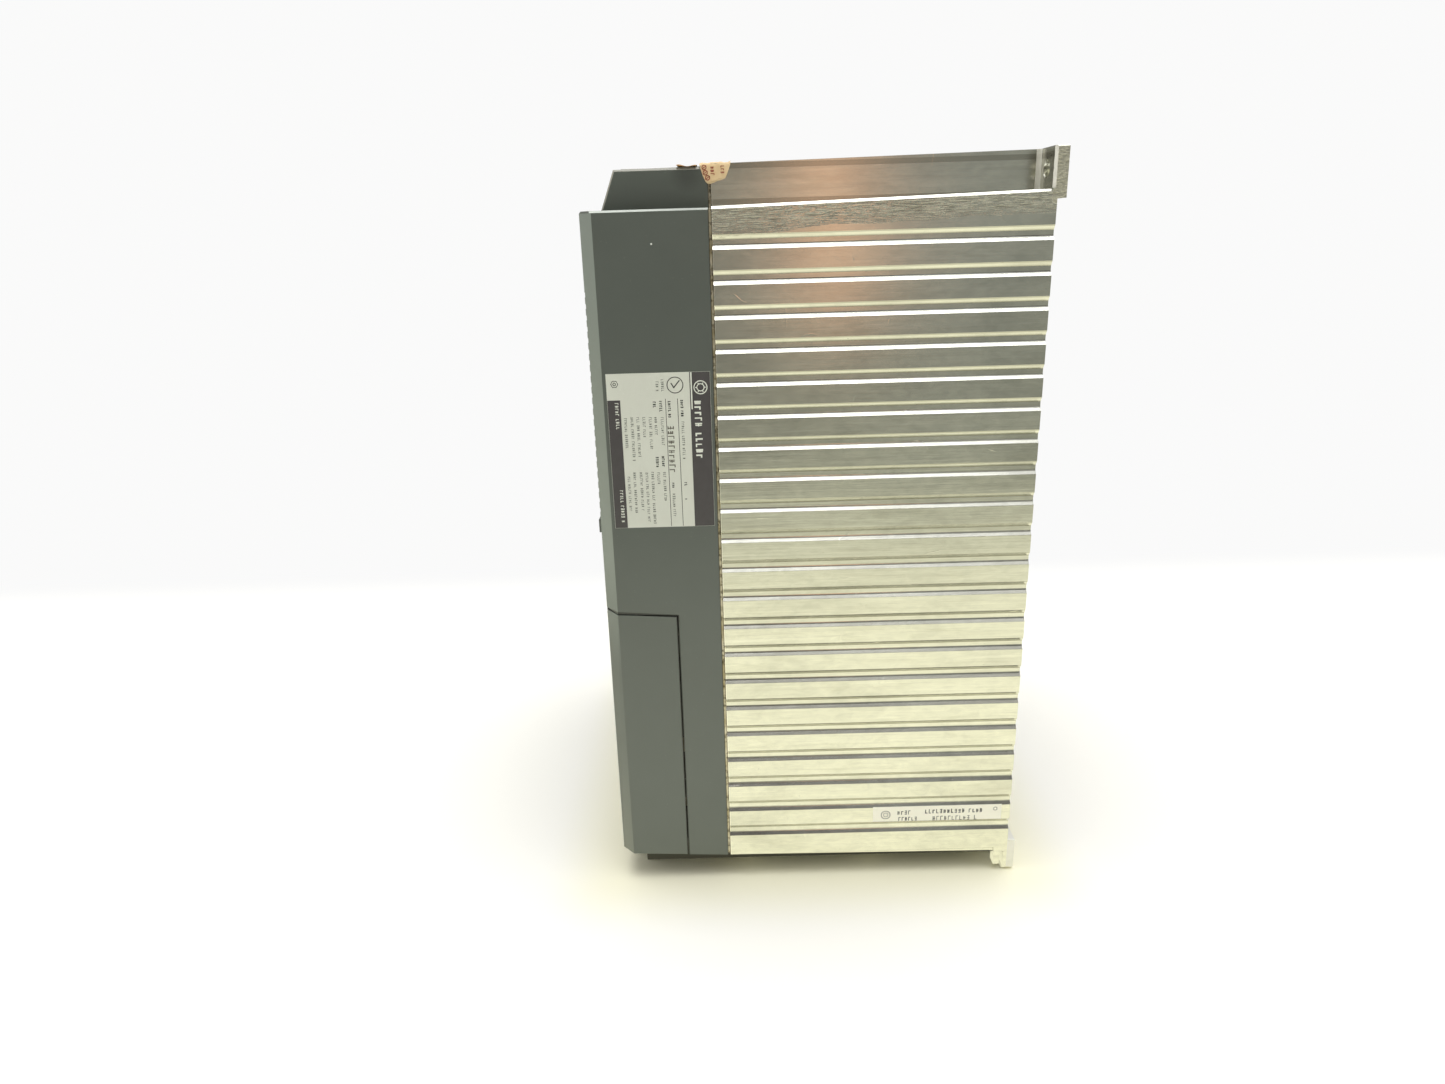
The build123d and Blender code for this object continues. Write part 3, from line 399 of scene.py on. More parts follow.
    h2 = n.bump(n.math("ADD", streak2, n.math("MULTIPLY", mott, 0.8)), 0.16, 0.0001, h1)
    h2 = n.bump(drag, 0.20, 0.00012, h2)
    h3 = n.bump(n.math("SUBTRACT", torn, gouge), 0.4, 0.00012, h2)
    h4 = n.bump(n.math("MULTIPLY", saw_n, sawn), 0.9, 0.0005, h3)
    h5 = n.bump(n.math("ADD", scr, n.math("MULTIPLY", nick, -1.0)), 0.35, 0.0001, h4)
    put(n, b, Base_Color=base, Metallic=n.math("SUBTRACT", 1.0, n.math("MAXIMUM", n.math("MULTIPLY", pale, 0.7), n.math("MULTIPLY", fold_highlight, 0.75))), Roughness=rough, Normal=h5)
    return m


def zinc_plate():
    """Zinc plate with a thin yellow passivation: blotchy tan and grey, dull, with dark dirt in patches."""
    m, n, b = material("yellow_zinc")
    v = n.coords()
    a = n.noise(v, 130.0, 3.0, 0.6)
    c = n.noise(n.coords((1, 1, 1), loc=(2, 5, 3)), 420.0, 3.0, 0.65)
    base = n.mix(n.ramp(a, [(0.35, 0.0), (0.62, 1.0)]), lin(170, 160, 132), lin(214, 208, 190))
    x, y, z = n.xyz()
    ax = n.math("ABSOLUTE", x)
    border = n.math("MAXIMUM", n.math("GREATER_THAN", ax, 0.1240), n.math("MULTIPLY", n.math("GREATER_THAN", z, 0.3542), n.math("GREATER_THAN", ax, 0.1042)))
    # painted shade: dark lines along both sides of the plate's edge face, in the gaps to the cover and to the wall
    rim = n.math("MAXIMUM", n.math("LESS_THAN", y, -0.04972), n.math("GREATER_THAN", y, -0.04872))
    rim = n.math("MULTIPLY", rim, border)
    base = n.mix(border, n.mix(n.ramp(a, [(0.3, 0.0), (0.7, 1.0)]), lin(206, 184, 118), lin(226, 206, 146)), base)
    base = n.mix(n.math("MULTIPLY", rim, 0.8), base, lin(84, 74, 56))
    base = n.mix(n.math("MULTIPLY", n.ramp(c, [(0.50, 0.0), (0.62, 1.0)]), n.fmix(border, 0.05, 0.75)), base, lin(70, 64, 50))
    put(n, b, Base_Color=base, Metallic=0.85, Roughness=n.fmix(a, 0.38, 0.55), Normal=n.bump(c, 0.3, 0.0002))
    return m


MAT = {
    "cover_plastic": cover_plastic(),
    "cast_aluminium": aluminium_side(),
    "sink_aluminium": metal("sink_aluminium", (0.74, 0.74, 0.72), 0.30, (900, 60, 5), 0.12),
    "yellow_zinc": zinc_plate(),
    "tray_paint": plastic("tray_paint", lin(60, 60, 50), 0.5, 1500.0, 0.12, 0.08),
    "galvanised": metal("galvanised", (0.62, 0.63, 0.64), 0.32, None, 0.08, 0.16),
    "screw_steel": metal("screw_steel", (0.66, 0.64, 0.56), 0.28, None, 0.08, 0.12),
    "fan_plastic": plastic("fan_plastic", lin(30, 31, 33), 0.38, 1800.0, 0.06),
    "guard_wire": metal("guard_wire", (0.78, 0.78, 0.76), 0.16, None, 0.03, 0.05),
    "module_plastic": plastic("module_plastic", lin(38, 38, 42), 0.5, 1800.0, 0.1),
    "capacitor_sleeve": plastic("capacitor_sleeve", lin(24, 34, 74), 0.22, 400.0, 0.05, 0.05, 0.5),
    "copper": metal("copper", (0.80, 0.44, 0.27), 0.25, None, 0.08, 0.18),
    "board_green": laminate("board_green"),
    "standoff_brass": metal("standoff_brass", (0.78, 0.62, 0.33), 0.24, None, 0.06),
    "relay_plastic": plastic("relay_plastic", lin(196, 176, 104), 0.35, 900.0, 0.05),
    "resistor_ceramic": plastic("resistor_ceramic", lin(218, 215, 205), 0.8, 1400.0, 0.4, 0.1, 0.2),
    "sensor_plastic": plastic("sensor_plastic", lin(34, 34, 38), 0.4, 1500.0, 0.08),
    "film_capacitor": plastic("film_capacitor", lin(196, 142, 48), 0.28, 700.0, 0.05, 0.06, 0.5),
    "transformer_tape": plastic("transformer_tape", lin(206, 178, 60), 0.3, 500.0, 0.06, 0.05, 0.5),
    "chip_plastic": plastic("chip_plastic", lin(34, 34, 34), 0.5, 2000.0, 0.12),
    "terminal_plastic": plastic("terminal_plastic", lin(36, 37, 38), 0.42, 1500.0, 0.08),
    "connector_plastic": plastic("connector_plastic", lin(212, 206, 188), 0.42, 1200.0, 0.05),
    "ribbon_grey": plastic("ribbon_grey", lin(150, 150, 152), 0.4, 1200.0, 0.05),
    "keypad_plastic": plastic("keypad_plastic", lin(52, 55, 52), 0.48, 2400.0, 0.14),
    "display_plastic": plastic("display_plastic", lin(20, 18, 18), 0.2, 800.0, 0.02),
    "key_grey": plastic("key_grey", lin(168, 170, 164), 0.6, 1500.0, 0.1),
    "key_green": plastic("key_green", lin(46, 130, 74), 0.55, 1500.0, 0.1),
    "key_red": plastic("key_red", lin(182, 44, 40), 0.55, 1500.0, 0.1),
    "switch_plastic": plastic("switch_plastic", lin(32, 32, 34), 0.4, 1500.0, 0.06),
    "label_film": plastic("label_film", lin(208, 211, 199), 0.33, 900.0, 0.04, 0.03, 0.5, 0.0, 0.0),
    "serial_film": plastic("serial_film", lin(254, 252, 236), 0.33, 900.0, 0.04, 0.03, 0.5, 0.0, 0.0),
}


def clear_lens(name, col, rough=0.08):
    m, n, b = material(name)
    v = n.noise(n.coords(), 300.0, 2.0)
    put(n, b, Base_Color=n.mix(v, tuple(c * 0.8 for c in col), col), Roughness=n.fmix(v, rough, rough + 0.06))
    b.inputs["Transmission Weight"].default_value = 0.75
    b.inputs["IOR"].default_value = 1.49
    return m


MAT["window_tint"] = clear_lens("window_tint", (0.30, 0.02, 0.015))
MAT["led_lens"] = clear_lens("led_lens", (0.75, 0.05, 0.03), 0.12)

for s in frame["record"]["subparts"]:
    o = NODES[s["node"]]
    o.data.materials.clear()
    o.data.materials.append(MAT[s["material_slot"]])
    for p in o.data.polygons:
        p.material_index = 0


# ------------------------------------------------------------------ rounded edges on the moulded and cast nodes
def soften(node, width, segments=2, angle=35):
    o = NODES[node]
    w = o.modifiers.new("weld", "WELD")
    w.merge_threshold = 2e-6
    bv = o.modifiers.new("edge", "BEVEL")
    bv.width = width
    bv.segments = segments
    bv.limit_method = "ANGLE"
    bv.angle_limit = math.radians(angle)
    bv.use_clamp_overlap = True
    bv.harden_normals = False
    return o


SOFT = {
    "front_cover": 0.0005, "terminal_cover": 0.0005, "side_wall_right": 0.00022, "side_wall_left": 0.00022,
    "heat_sink": 0.0002, "bottom_tray": 0.0003, "gland_plate": 0.0002, "frame_plate": 0.0002, "top_grille": 0.0002,
    "keypad_housing": 0.0003, "keypad_window": 0.0002, "power_terminal_block": 0.0003, "control_terminal_block": 0.0002,
    "ground_terminals": 0.0002, "capacitor_bracket": 0.0002, "bus_bars": 0.0003, "inverter_module": 0.0004,
    "rectifier_module": 0.0004, "charge_relay": 0.0004, "charge_resistor": 0.0004, "current_sensors": 0.0003,
    "snubber_capacitors": 0.0006, "supply_transformer": 0.0005, "control_board_chips": 0.00015, "gate_driver_chips": 0.00015,
    "riser_connector": 0.0002, "fan_bracket": 0.0003, "fan_frames": 0.0004,
}
for node, width in SOFT.items():
    soften(node, width)
for k in ("program", "up", "reset", "enter", "down", "shift", "run", "stop"):
    soften("key_" + k, 0.0004, 3)


# ------------------------------------------------------------------ printed and stuck-on pieces
class Print:
    """Thin raised shapes on one flat face: u and v lie in the face, h points out of it."""

    def __init__(self, origin, u, v, n, h0=0.00001, h1=0.00004):
        self.o, self.u, self.v, self.n = Vector(origin), Vector(u), Vector(v), Vector(n)
        self.h0, self.h1 = h0, h1
        self.bm = bmesh.new()

    def _p(self, u, v, h):
        return self.o + self.u * u + self.v * v + self.n * h

    def poly(self, pts):
        a = [self.bm.verts.new(self._p(u, v, self.h0)) for u, v in pts]
        b = [self.bm.verts.new(self._p(u, v, self.h1)) for u, v in pts]
        self.bm.faces.new(b)
        self.bm.faces.new(list(reversed(a)))
        for i in range(len(pts)):
            j = (i + 1) % len(pts)
            self.bm.faces.new((a[i], a[j], b[j], b[i]))

    def rect(self, u0, u1, v0, v1):
        self.k = (getattr(self, "k", 0) + 1) % 5
        top = self.h1
        self.h1 = top + 0.0000022 * self.k
        self.poly([(u0, v0), (u1, v0), (u1, v1), (u0, v1)])
        self.h1 = top

    def line(self, u0, v0, u1, v1, w):
        d = Vector((u1 - u0, v1 - v0))
        if d.length < 1e-9:
            return
        s = Vector((-d.y, d.x)).normalized() * (w / 2)
        self.poly([(u0 - s.x, v0 - s.y), (u1 - s.x, v1 - s.y), (u1 + s.x, v1 + s.y), (u0 + s.x, v0 + s.y)])

    def ring(self, cu, cv, r0, r1, seg=36, a0=0.0, a1=2 * math.pi):
        closed = abs(a1 - a0 - 2 * math.pi) < 1e-6
        n = seg
        rows = []
        for i in range(n if closed else n + 1):
            a = a0 + (a1 - a0) * i / n
            c, s = math.cos(a), math.sin(a)
            rows.append([self.bm.verts.new(self._p(cu + r * c, cv + r * s, h)) for r, h in
                         ((r0, self.h0), (r1, self.h0), (r1, self.h1), (r0, self.h1))])
        m = len(rows)
        for i in range(m if closed else m - 1):
            p, q = rows[i], rows[(i + 1) % m]
            for k in range(4):
                j = (k + 1) % 4
                self.bm.faces.new((p[k], p[j], q[j], q[k]))
        if not closed:
            self.bm.faces.new(list(reversed(rows[0])))
            self.bm.faces.new(rows[-1])

    def disc(self, cu, cv, r, seg=28):
        self.poly([(cu + r * math.cos(2 * math.pi * i / seg), cv + r * math.sin(2 * math.pi * i / seg)) for i in range(seg)])

    def words(self, u, v0, v1, height, seed, bold=0.55, lean=0.0, word=(3, 8)):
        """A row of letter-like blocks along v (from v0 towards v1), standing for text without spelling any."""
        rnd = random.Random(seed)
        s = 1 if v1 > v0 else -1
        v = v0
        adv = height * 0.78
        left = rnd.randint(*word)
        while s * (v1 - v) > adv * 0.7:
            if left == 0:
                v += s * adv * 0.8
                left = rnd.randint(*word)
                continue
            left -= 1
            w = height * bold * rnd.uniform(0.24, 0.34)
            top = height * rnd.choice((0.5, 0.36, 0.5, 0.42))
            kind = rnd.randint(0, 3)
            a, b = v + s * adv * 0.12, v + s * adv * 0.74
            if kind in (0, 1, 3):
                self.rect(u - height * 0.5, u + top, min(a, a + s * w), max(a, a + s * w))
            if kind in (0, 2):
                self.rect(u - height * 0.5, u - height * 0.5 + w, min(a, b), max(a, b))
            if kind in (1, 2):
                self.rect(u + top - w, u + top, min(a, b), max(a, b))
            if kind in (2, 3):
                c = (a + b) / 2
                self.rect(u - height * 0.1, u - height * 0.1 + w, min(a, b), max(a, b))
                self.rect(u - height * 0.45, u + top * 0.9, min(c, c + s * w), max(c, c + s * w))
            v += s * adv

    def done(self, name, mat, body, slot):
        bmesh.ops.recalc_face_normals(self.bm, faces=self.bm.faces)
        return piece(name, self.bm, mat, body)


def piece(name, bm, mat, body, smooth=None):
    me = bpy.data.meshes.new(name)
    bm.to_mesh(me)
    bm.free()
    me.materials.append(mat)
    o = bpy.data.objects.new(name, me)
    scene.collection.objects.link(o)
    if smooth is not None:
        for p in me.polygons:
            p.use_smooth = True
        me.set_sharp_from_angle(angle=math.radians(smooth))
    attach(o, body)
    return o


def ink(name, col, rough=0.42):
    m, n, b = material(name)
    v = n.coords()
    c = n.noise(v, 260.0, 3.0, 0.6)
    fade = n.ramp(n.noise(v, 2200.0, 2.0, 0.6), [(0.30, 0.82), (0.42, 1.0)])
    base = n.mix(1.0, n.mix(c, tuple(x * 0.88 for x in col), tuple(min(1, x * 1.1 + 0.004) for x in col)), fade, "MULTIPLY")
    put(n, b, Base_Color=base, Roughness=n.fmix(c, rough - 0.06, rough + 0.08))
    return m


INK = {
    "dark": ink("ink_dark", lin(72, 69, 70), 0.35), "text": ink("ink_text", lin(52, 54, 52)), "soft": ink("ink_soft", lin(84, 88, 82)),
    "light": ink("ink_light", lin(222, 226, 214)), "red": ink("ink_red", lin(164, 78, 60), 0.7), "stamp": ink("ink_stamp", lin(92, 90, 78)),
    "white": ink("ink_white", lin(225, 227, 222)),
}
MMF = 0.001
COVER, CHASSIS = "front_cover_assembly", "chassis"


def side_print(x=0.125, **k):
    """On the +X side: u is +Y, v is +Z."""
    return Print((x, 0, 0), (0, MMF, 0), (0, 0, MMF), (1, 0, 0), **k)


def front_print(y, **k):
    """On a face that looks along -Y: u is +X, v is +Z."""
    return Print((0, y, 0), (MMF, 0, 0), (0, 0, MMF), (0, -1, 0), **k)


# rating label: light field with two dark bands, rules, round marks and rows of illegible print
p = side_print()
p.rect(-61.2, -51.5, 206.9, 282.5)
p.rect(-100.5, -94.4, 206.9, 270.1)
p.done("rating_label_bands", INK["dark"], COVER, "label_film")
p = side_print(h0=0.00004, h1=0.00007)
p.rect(-60.7, -60.1, 264.9, 282.4)
p.ring(-56.1, 275.2, 2.85, 3.3)
p.ring(-56.1, 275.2, 1.5, 1.9, 24)
for a in range(0, 360, 60):
    c, s = math.cos(math.radians(a)), math.sin(math.radians(a))
    p.line(-56.1 + 1.9 * c, 275.2 + 1.9 * s, -56.1 + 2.5 * c, 275.2 + 2.5 * s, 0.4)
p.words(-57.6, 269.2, 238.6, 3.4, 11, 0.72, word=(4, 6))
p.words(-96.2, 269.0, 254.3, 1.7, 12, 0.6, word=(4, 6))
p.words(-96.4, 226.2, 209.0, 1.7, 13, 0.6, word=(3, 6))
p.done("rating_label_light_print", INK["light"], COVER, "label_film")
p = side_print()
p.line(-67.2, 270.2, -67.0, 207.2, 0.25)
p.line(-72.9, 270.2, -72.8, 207.2, 0.25)
p.ring(-68.1, 276.6, 3.55, 3.95)
p.line(-70.0, 277.6, -68.6, 275.2, 0.5)
p.line(-68.9, 275.2, -65.9, 278.8, 0.5)
p.ring(-96.7, 277.7, 1.55, 1.85, 6)
p.ring(-96.7, 277.7, 0.5, 0.8, 16)
for u, v0, v1, h, sd in ((-65.2, 269.6, 260.8, 1.35, 21), (-64.9, 229.4, 226.9, 1.35, 22), (-71.2, 269.2, 260.4, 1.35, 23),
                         (-75.3, 269.4, 263.9, 1.4, 24), (-78.3, 269.2, 265.3, 1.4, 25), (-75.3, 242.6, 236.8, 1.4, 26),
                         (-78.2, 242.4, 236.5, 1.4, 27), (-71.0, 229.3, 225.7, 1.2, 28)):
    p.words(u, v0, v1, h, sd, 0.85)
p.done("rating_label_bold_print", INK["text"], COVER, "label_film")
p = side_print()
for i, (u, v0, v1) in enumerate(((-65.1, 259.2, 240.2), (-65.0, 221.2, 219.6), (-74.9, 261.6, 246.9), (-78.0, 261.7, 253.0),
                                 (-80.6, 261.7, 246.0), (-83.6, 261.8, 251.3), (-86.5, 261.9, 241.1), (-89.3, 262.0, 240.6),
                                 (-92.4, 261.6, 246.6), (-75.0, 234.8, 219.8), (-77.9, 234.6, 227.6), (-80.8, 235.0, 208.6),
                                 (-83.6, 234.8, 209.5), (-86.4, 234.9, 215.1), (-89.6, 234.9, 214.4), (-92.4, 232.9, 215.3),
                                 (-70.9, 223.8, 210.8), (-76.5, 278.6, 274.0), (-74.0, 279.6, 272.9))):
    p.words(u, v0, v1, 1.3, 40 + i, 0.5)
p.done("rating_label_small_print", INK["soft"], COVER, "label_film")
p = side_print(h1=0.00005)
p.words(-71.0, 257.3, 232.0, 3.0, 71, 0.5, word=(10, 10))
p.done("rating_label_stamp", INK["stamp"], COVER, "label_film")

# serial label
p = Print((0.125, 0, 0), (0, 0, MMF), (0, MMF, 0), (1, 0, 0))      # u up, v along +Y
p.ring(37.7, 37.3, 2.25, 2.6)
p.ring(37.7, 37.3, 1.1, 1.4, 20)
p.words(38.9, 43.6, 52.5, 2.5, 81, 0.55, word=(5, 5))
p.words(34.9, 44.2, 56.7, 2.3, 82, 0.55, word=(6, 6))
p.words(39.3, 58.7, 90.7, 2.6, 83, 0.6, word=(10, 12))
p.words(34.8, 63.0, 88.5, 2.7, 84, 0.42, word=(10, 10))
p.ring(40.0, 97.4, 0.9, 1.2, 6)
p.done("serial_label_print", INK["text"], CHASSIS, "serial_film")


# ------------------------------------------------------------------ torn paper sticker over the seam
def torn_paper():
    rnd = random.Random(5)
    m, n, b = material("torn_paper")
    v = n.coords()
    fib = n.noise(n.coords((1, 1, 1)), 900.0, 4.0, 0.7)
    blot = n.noise(v, 160.0, 3.0, 0.6)
    base = n.mix(blot, lin(240, 214, 172), lin(228, 194, 140))
    base = n.mix(n.math("MULTIPLY", fib, 0.25), base, lin(250, 236, 206))
    put(n, b, Base_Color=base, Roughness=0.85, Normal=n.bump(fib, 0.4, 0.0002))
    outline = [(-53.6, 374.3), (-52.6, 371.0), (-51.9, 368.0), (-51.0, 366.8), (-49.6, 365.7), (-48.6, 365.9), (-46.0, 366.7), (-43.9, 367.3),
               (-42.0, 367.6), (-41.2, 368.6), (-40.7, 370.0), (-40.1, 372.0), (-39.2, 374.4)]
    bm = bmesh.new()
    # wall part: a fan of strips between the torn edge and the folded edge at the top
    cols = 12
    grid = []
    for i in range(cols + 1):
        f = i / cols
        y = -53.4 + (53.4 - 39.3) * f
        top = 373.9 + 0.45 * f
        # lower edge by interpolation along the torn outline
        low = None
        for (ya, za), (yb, zb) in zip(outline, outline[1:]):
            if min(ya, yb) - 1e-6 <= y <= max(ya, yb) + 1e-6:
                low = za + (zb - za) * ((y - ya) / (yb - ya) if abs(yb - ya) > 1e-6 else 0)
        low = 374.0 if low is None else min(low, top - 0.05)
        col = []
        for j in range(7):
            g = j / 6
            z = low + (top - low) * g
            yy = y + rnd.uniform(-0.12, 0.12)
            x = 105.22 + 0.07 * math.sin(0.9 * y + 2.3 * g) + 0.05 * math.sin(2.2 * y) + rnd.uniform(0, 0.03)
            if j == 0:
                z += rnd.uniform(-0.18, 0.18)
            col.append(bm.verts.new((x * MM, yy * MM, z * MM)))
        # folded over the top edge and lying on top, crumpled
        for k, (dx, dz) in enumerate(((-0.6, 0.55), (-2.2, 0.75 + 0.3 * math.sin(i)), (-4.6, 0.9 + 0.5 * math.sin(1.7 * i)), (-7.0 - rnd.uniform(0, 1.2), 1.1 + 0.4 * math.cos(i)))):
            col.append(bm.verts.new(((105.2 + dx) * MM, (y + rnd.uniform(-0.2, 0.2)) * MM, (top + dz) * MM)))
        grid.append(col)
    for a, b2 in zip(grid, grid[1:]):
        for j in range(len(a) - 1):
            bm.faces.new((a[j], b2[j], b2[j + 1], a[j + 1]))
    o = piece("torn_sticker", bm, m, CHASSIS, 60)
    s = o.modifiers.new("thick", "SOLIDIFY")
    s.thickness = 0.00012
    s.offset = 0
    q = Print((0.10545, 0, 0), (0, MMF, 0), (0, 0, MMF), (1, 0, 0), h1=0.00006)
    for u, w in ((-51.4, 372.9), (-50.9, 370.6), (-49.9, 368.4)):
        q.ring(u, w, 0.80, 1.15, 20)
        q.line(u - 1.1, w - 0.7, u + 1.1, w + 0.7, 0.26)
    q.words(-47.6, 373.3, 368.8, 1.8, 91, 0.62, word=(3, 4))
    q.words(-43.0, 373.6, 370.2, 1.6, 92, 0.62, word=(2, 3))
    q.done("torn_sticker_print", INK["red"], CHASSIS, "label_film")
    # curled scrap of old tape on the cap
    m2, n2, b2 = material("old_tape")
    v2 = n2.noise(n2.coords(), 400.0, 3.0, 0.6)
    put(n2, b2, Base_Color=n2.mix(v2, lin(128, 86, 40), lin(206, 160, 98)), Roughness=0.6, Normal=n2.bump(v2, 0.4, 0.0002))
    bm = bmesh.new()
    rows = []
    for i in range(13):
        f = i / 12
        y = -64.4 + 9.4 * f
        lift = 0.35 + 1.15 * (0.5 + 0.5 * math.sin(7.5 * f + 0.6)) * (1 - 0.5 * f)
        rows.append([bm.verts.new(((105.25 - 4.4 * g) * MM, (y + 0.6 * g) * MM, (373.45 + lift * math.sin(0.5 + 2.6 * g) + rnd.uniform(-0.06, 0.06)) * MM)) for g in (0, 0.33, 0.66, 1)])
    for a, c in zip(rows, rows[1:]):
        for j in range(3):
            bm.faces.new((a[j], c[j], c[j + 1], a[j + 1]))
    o = piece("tape_scrap", bm, m2, COVER, 60)
    s = o.modifiers.new("thick", "SOLIDIFY")
    s.thickness = 0.00014
    sub = o.modifiers.new("sub", "SUBSURF")
    sub.levels = sub.render_levels = 1


torn_paper()

# stray paint dot on the cover side
p = side_print(h1=0.00005)
p.disc(-76.0, 340.2, 0.42, 14)
p.done("paint_dot", INK["white"], COVER, "cover_plastic")


# ------------------------------------------------------------------ keypad legends and display
def key_face(name):
    lo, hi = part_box("key_" + name)
    return lo, hi


for k in ("program", "up", "reset", "enter", "down", "shift", "run", "stop"):
    lo, hi = key_face(k)
    cx, cz = (lo[0] + hi[0]) * 500, (lo[2] + hi[2]) * 500
    p = front_print(lo[1])
    if k == "up":
        p.poly([(cx - 2.2, cz - 1.4), (cx + 2.2, cz - 1.4), (cx, cz + 2.0)])
    elif k == "down":
        p.poly([(cx - 2.2, cz + 1.4), (cx, cz - 2.0), (cx + 2.2, cz + 1.4)])
    elif k == "shift":
        p.line(cx - 2.6, cz, cx + 1.2, cz, 0.7)
        p.poly([(cx + 0.9, cz - 1.5), (cx + 2.9, cz), (cx + 0.9, cz + 1.5)])
    elif k == "program":
        for i in range(3):
            p.rect(cx - 2.4, cx + 2.4, cz - 1.6 + i * 1.4, cz - 1.1 + i * 1.4)
    elif k == "reset":
        p.ring(cx, cz, 1.3, 1.8, 24, math.radians(40), math.radians(330))
        p.poly([(cx + 0.6, cz + 0.2), (cx + 2.4, cz + 0.5), (cx + 1.6, cz + 2.0)])
    elif k == "enter":
        p.line(cx - 1.6, cz - 0.6, cx + 2.0, cz - 0.6, 0.55)
        p.line(cx + 1.75, cz - 0.6, cx + 1.75, cz + 1.6, 0.55)
        p.poly([(cx - 1.3, cz - 1.7), (cx - 1.3, cz + 0.5), (cx - 2.9, cz - 0.6)])
    elif k == "run":
        p.poly([(cx - 1.8, cz - 2.4), (cx + 2.4, cz), (cx - 1.8, cz + 2.4)])
    else:
        p.rect(cx - 2.0, cx + 2.0, cz - 2.0, cz + 2.0)
    p.done("key_" + k + "_symbol", INK["white"] if k in ("run", "stop") else INK["dark"], "key_" + k + "_body", "key_grey")

lo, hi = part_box("keypad_housing")
p = front_print(lo[1])
fy = lo[1]
for z in (292.6, 281.9, 244.3):
    p.rect(-38.6, 38.6, z, z + 0.3)
for x in (-24, 0, 24):
    p.rect(x - 0.15, x + 0.15, 289.6, 291.4)
p.rect(-14.8, 14.8, 319.3, 320.2)
p.done("keypad_lines", INK["light"], COVER, "keypad_plastic")

# four seven-segment digits behind the window
dlo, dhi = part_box("display_module")
m_lit, n_lit, b_lit = material("segment_lit")
sv = n_lit.noise(n_lit.coords(), 900.0, 2.0)
put(n_lit, b_lit, Base_Color=n_lit.mix(sv, (0.5, 0.03, 0.02), (0.62, 0.05, 0.03)), Roughness=0.35,
    Emission_Color=n_lit.mix(sv, (1.0, 0.09, 0.04), (1.0, 0.16, 0.07)))
b_lit.inputs["Emission Strength"].default_value = 0.35
p = front_print(dlo[1], h1=0.00012)
SEG = {"0": "abcdef", "6": "acdefg", "5": "acdfg"}
for i, d in enumerate("6000"):
    cx, cz, w, h = -19.5 + 13.0 * i, 306.0, 3.3, 5.4
    t, sl = 0.75, 0.10
    for sgm in SEG[d]:
        if sgm in "adg":
            z = {"a": cz + h, "d": cz - h, "g": cz}[sgm]
            ox = (z - cz) * sl
            p.poly([(cx - w + 0.7 + ox, z - t / 2), (cx + w - 0.7 + ox, z - t / 2), (cx + w - 0.3 + ox, z), (cx + w - 0.7 + ox, z + t / 2),
                    (cx - w + 0.7 + ox, z + t / 2), (cx - w + 0.3 + ox, z)])
        else:
            x = cx + (w if sgm in "bc" else -w)
            z0, z1 = (cz + 0.4, cz + h - 0.4) if sgm in "bf" else (cz - h + 0.4, cz - 0.4)
            p.poly([(x - t / 2 + (z0 - cz) * sl, z0), (x + t / 2 + (z0 - cz) * sl, z0), (x + t / 2 + (z1 - cz) * sl, z1),
                    (x - t / 2 + (z1 - cz) * sl, z1)])
    if i == 1:
        p.disc(cx + w + 2.4, cz - h, 0.55, 12)
p.done("display_digits", m_lit, COVER, "display_plastic")


# ------------------------------------------------------------------ small parts on the circuit boards
def islands(node):
    """Bounding boxes of the loose pieces of a node."""
    me = NODES[node].data
    parent = list(range(len(me.vertices)))

    def root(i):
        while parent[i] != i:
            parent[i] = parent[parent[i]]
            i = parent[i]
        return i

    for e in me.edges:
        a, b = root(e.vertices[0]), root(e.vertices[1])
        if a != b:
            parent[a] = b
    key = {}
    for v in me.vertices:
        q = (round(v.co.x, 6), round(v.co.y, 6), round(v.co.z, 6))
        if q in key:
            a, b = root(v.index), key[q]
            b = root(b)
            if a != b:
                parent[a] = b
        else:
            key[q] = v.index
    boxes = {}
    for v in me.vertices:
        r = root(v.index)
        b = boxes.get(r)
        if b is None:
            boxes[r] = [v.co.copy(), v.co.copy()]
        else:
            for i in range(3):
                b[0][i] = min(b[0][i], v.co[i])
                b[1][i] = max(b[1][i], v.co[i])
    return [(tuple(a), tuple(b)) for a, b in boxes.values()]


def block(bm, x0, x1, y0, y1, z0, z1, c=0.00015):
    """A box with chamfered edges, added to bm."""
    r = bmesh.ops.create_cube(bm, size=1.0)
    vs = r["verts"]
    for v in vs:
        v.co = Vector(((x0 + x1) / 2 + v.co.x * (x1 - x0), (y0 + y1) / 2 + v.co.y * (y1 - y0), (z0 + z1) / 2 + v.co.z * (z1 - z0)))
    es = list({e for v in vs for e in v.link_edges})
    w = min(c, 0.22 * min(x1 - x0, y1 - y0, z1 - z0))
    bmesh.ops.bevel(bm, geom=es, offset=w, segments=1, affect="EDGES", profile=0.5)


def tube(bm, x, y0, y1, z, r, seg=14):
    a = [bm.verts.new((x + r * math.cos(2 * math.pi * i / seg), y0, z + r * math.sin(2 * math.pi * i / seg))) for i in range(seg)]
    k = 0.92
    ym = y1 + (y0 - y1) * 0.06
    b = [bm.verts.new((x + r * math.cos(2 * math.pi * i / seg), ym, z + r * math.sin(2 * math.pi * i / seg))) for i in range(seg)]
    c = [bm.verts.new((x + k * r * math.cos(2 * math.pi * i / seg), y1, z + k * r * math.sin(2 * math.pi * i / seg))) for i in range(seg)]
    for i in range(seg):
        j = (i + 1) % seg
        bm.faces.new((a[i], a[j], b[j], b[i]))
        bm.faces.new((b[i], b[j], c[j], c[i]))
    bm.faces.new(c)
    bm.faces.new(list(reversed(a)))


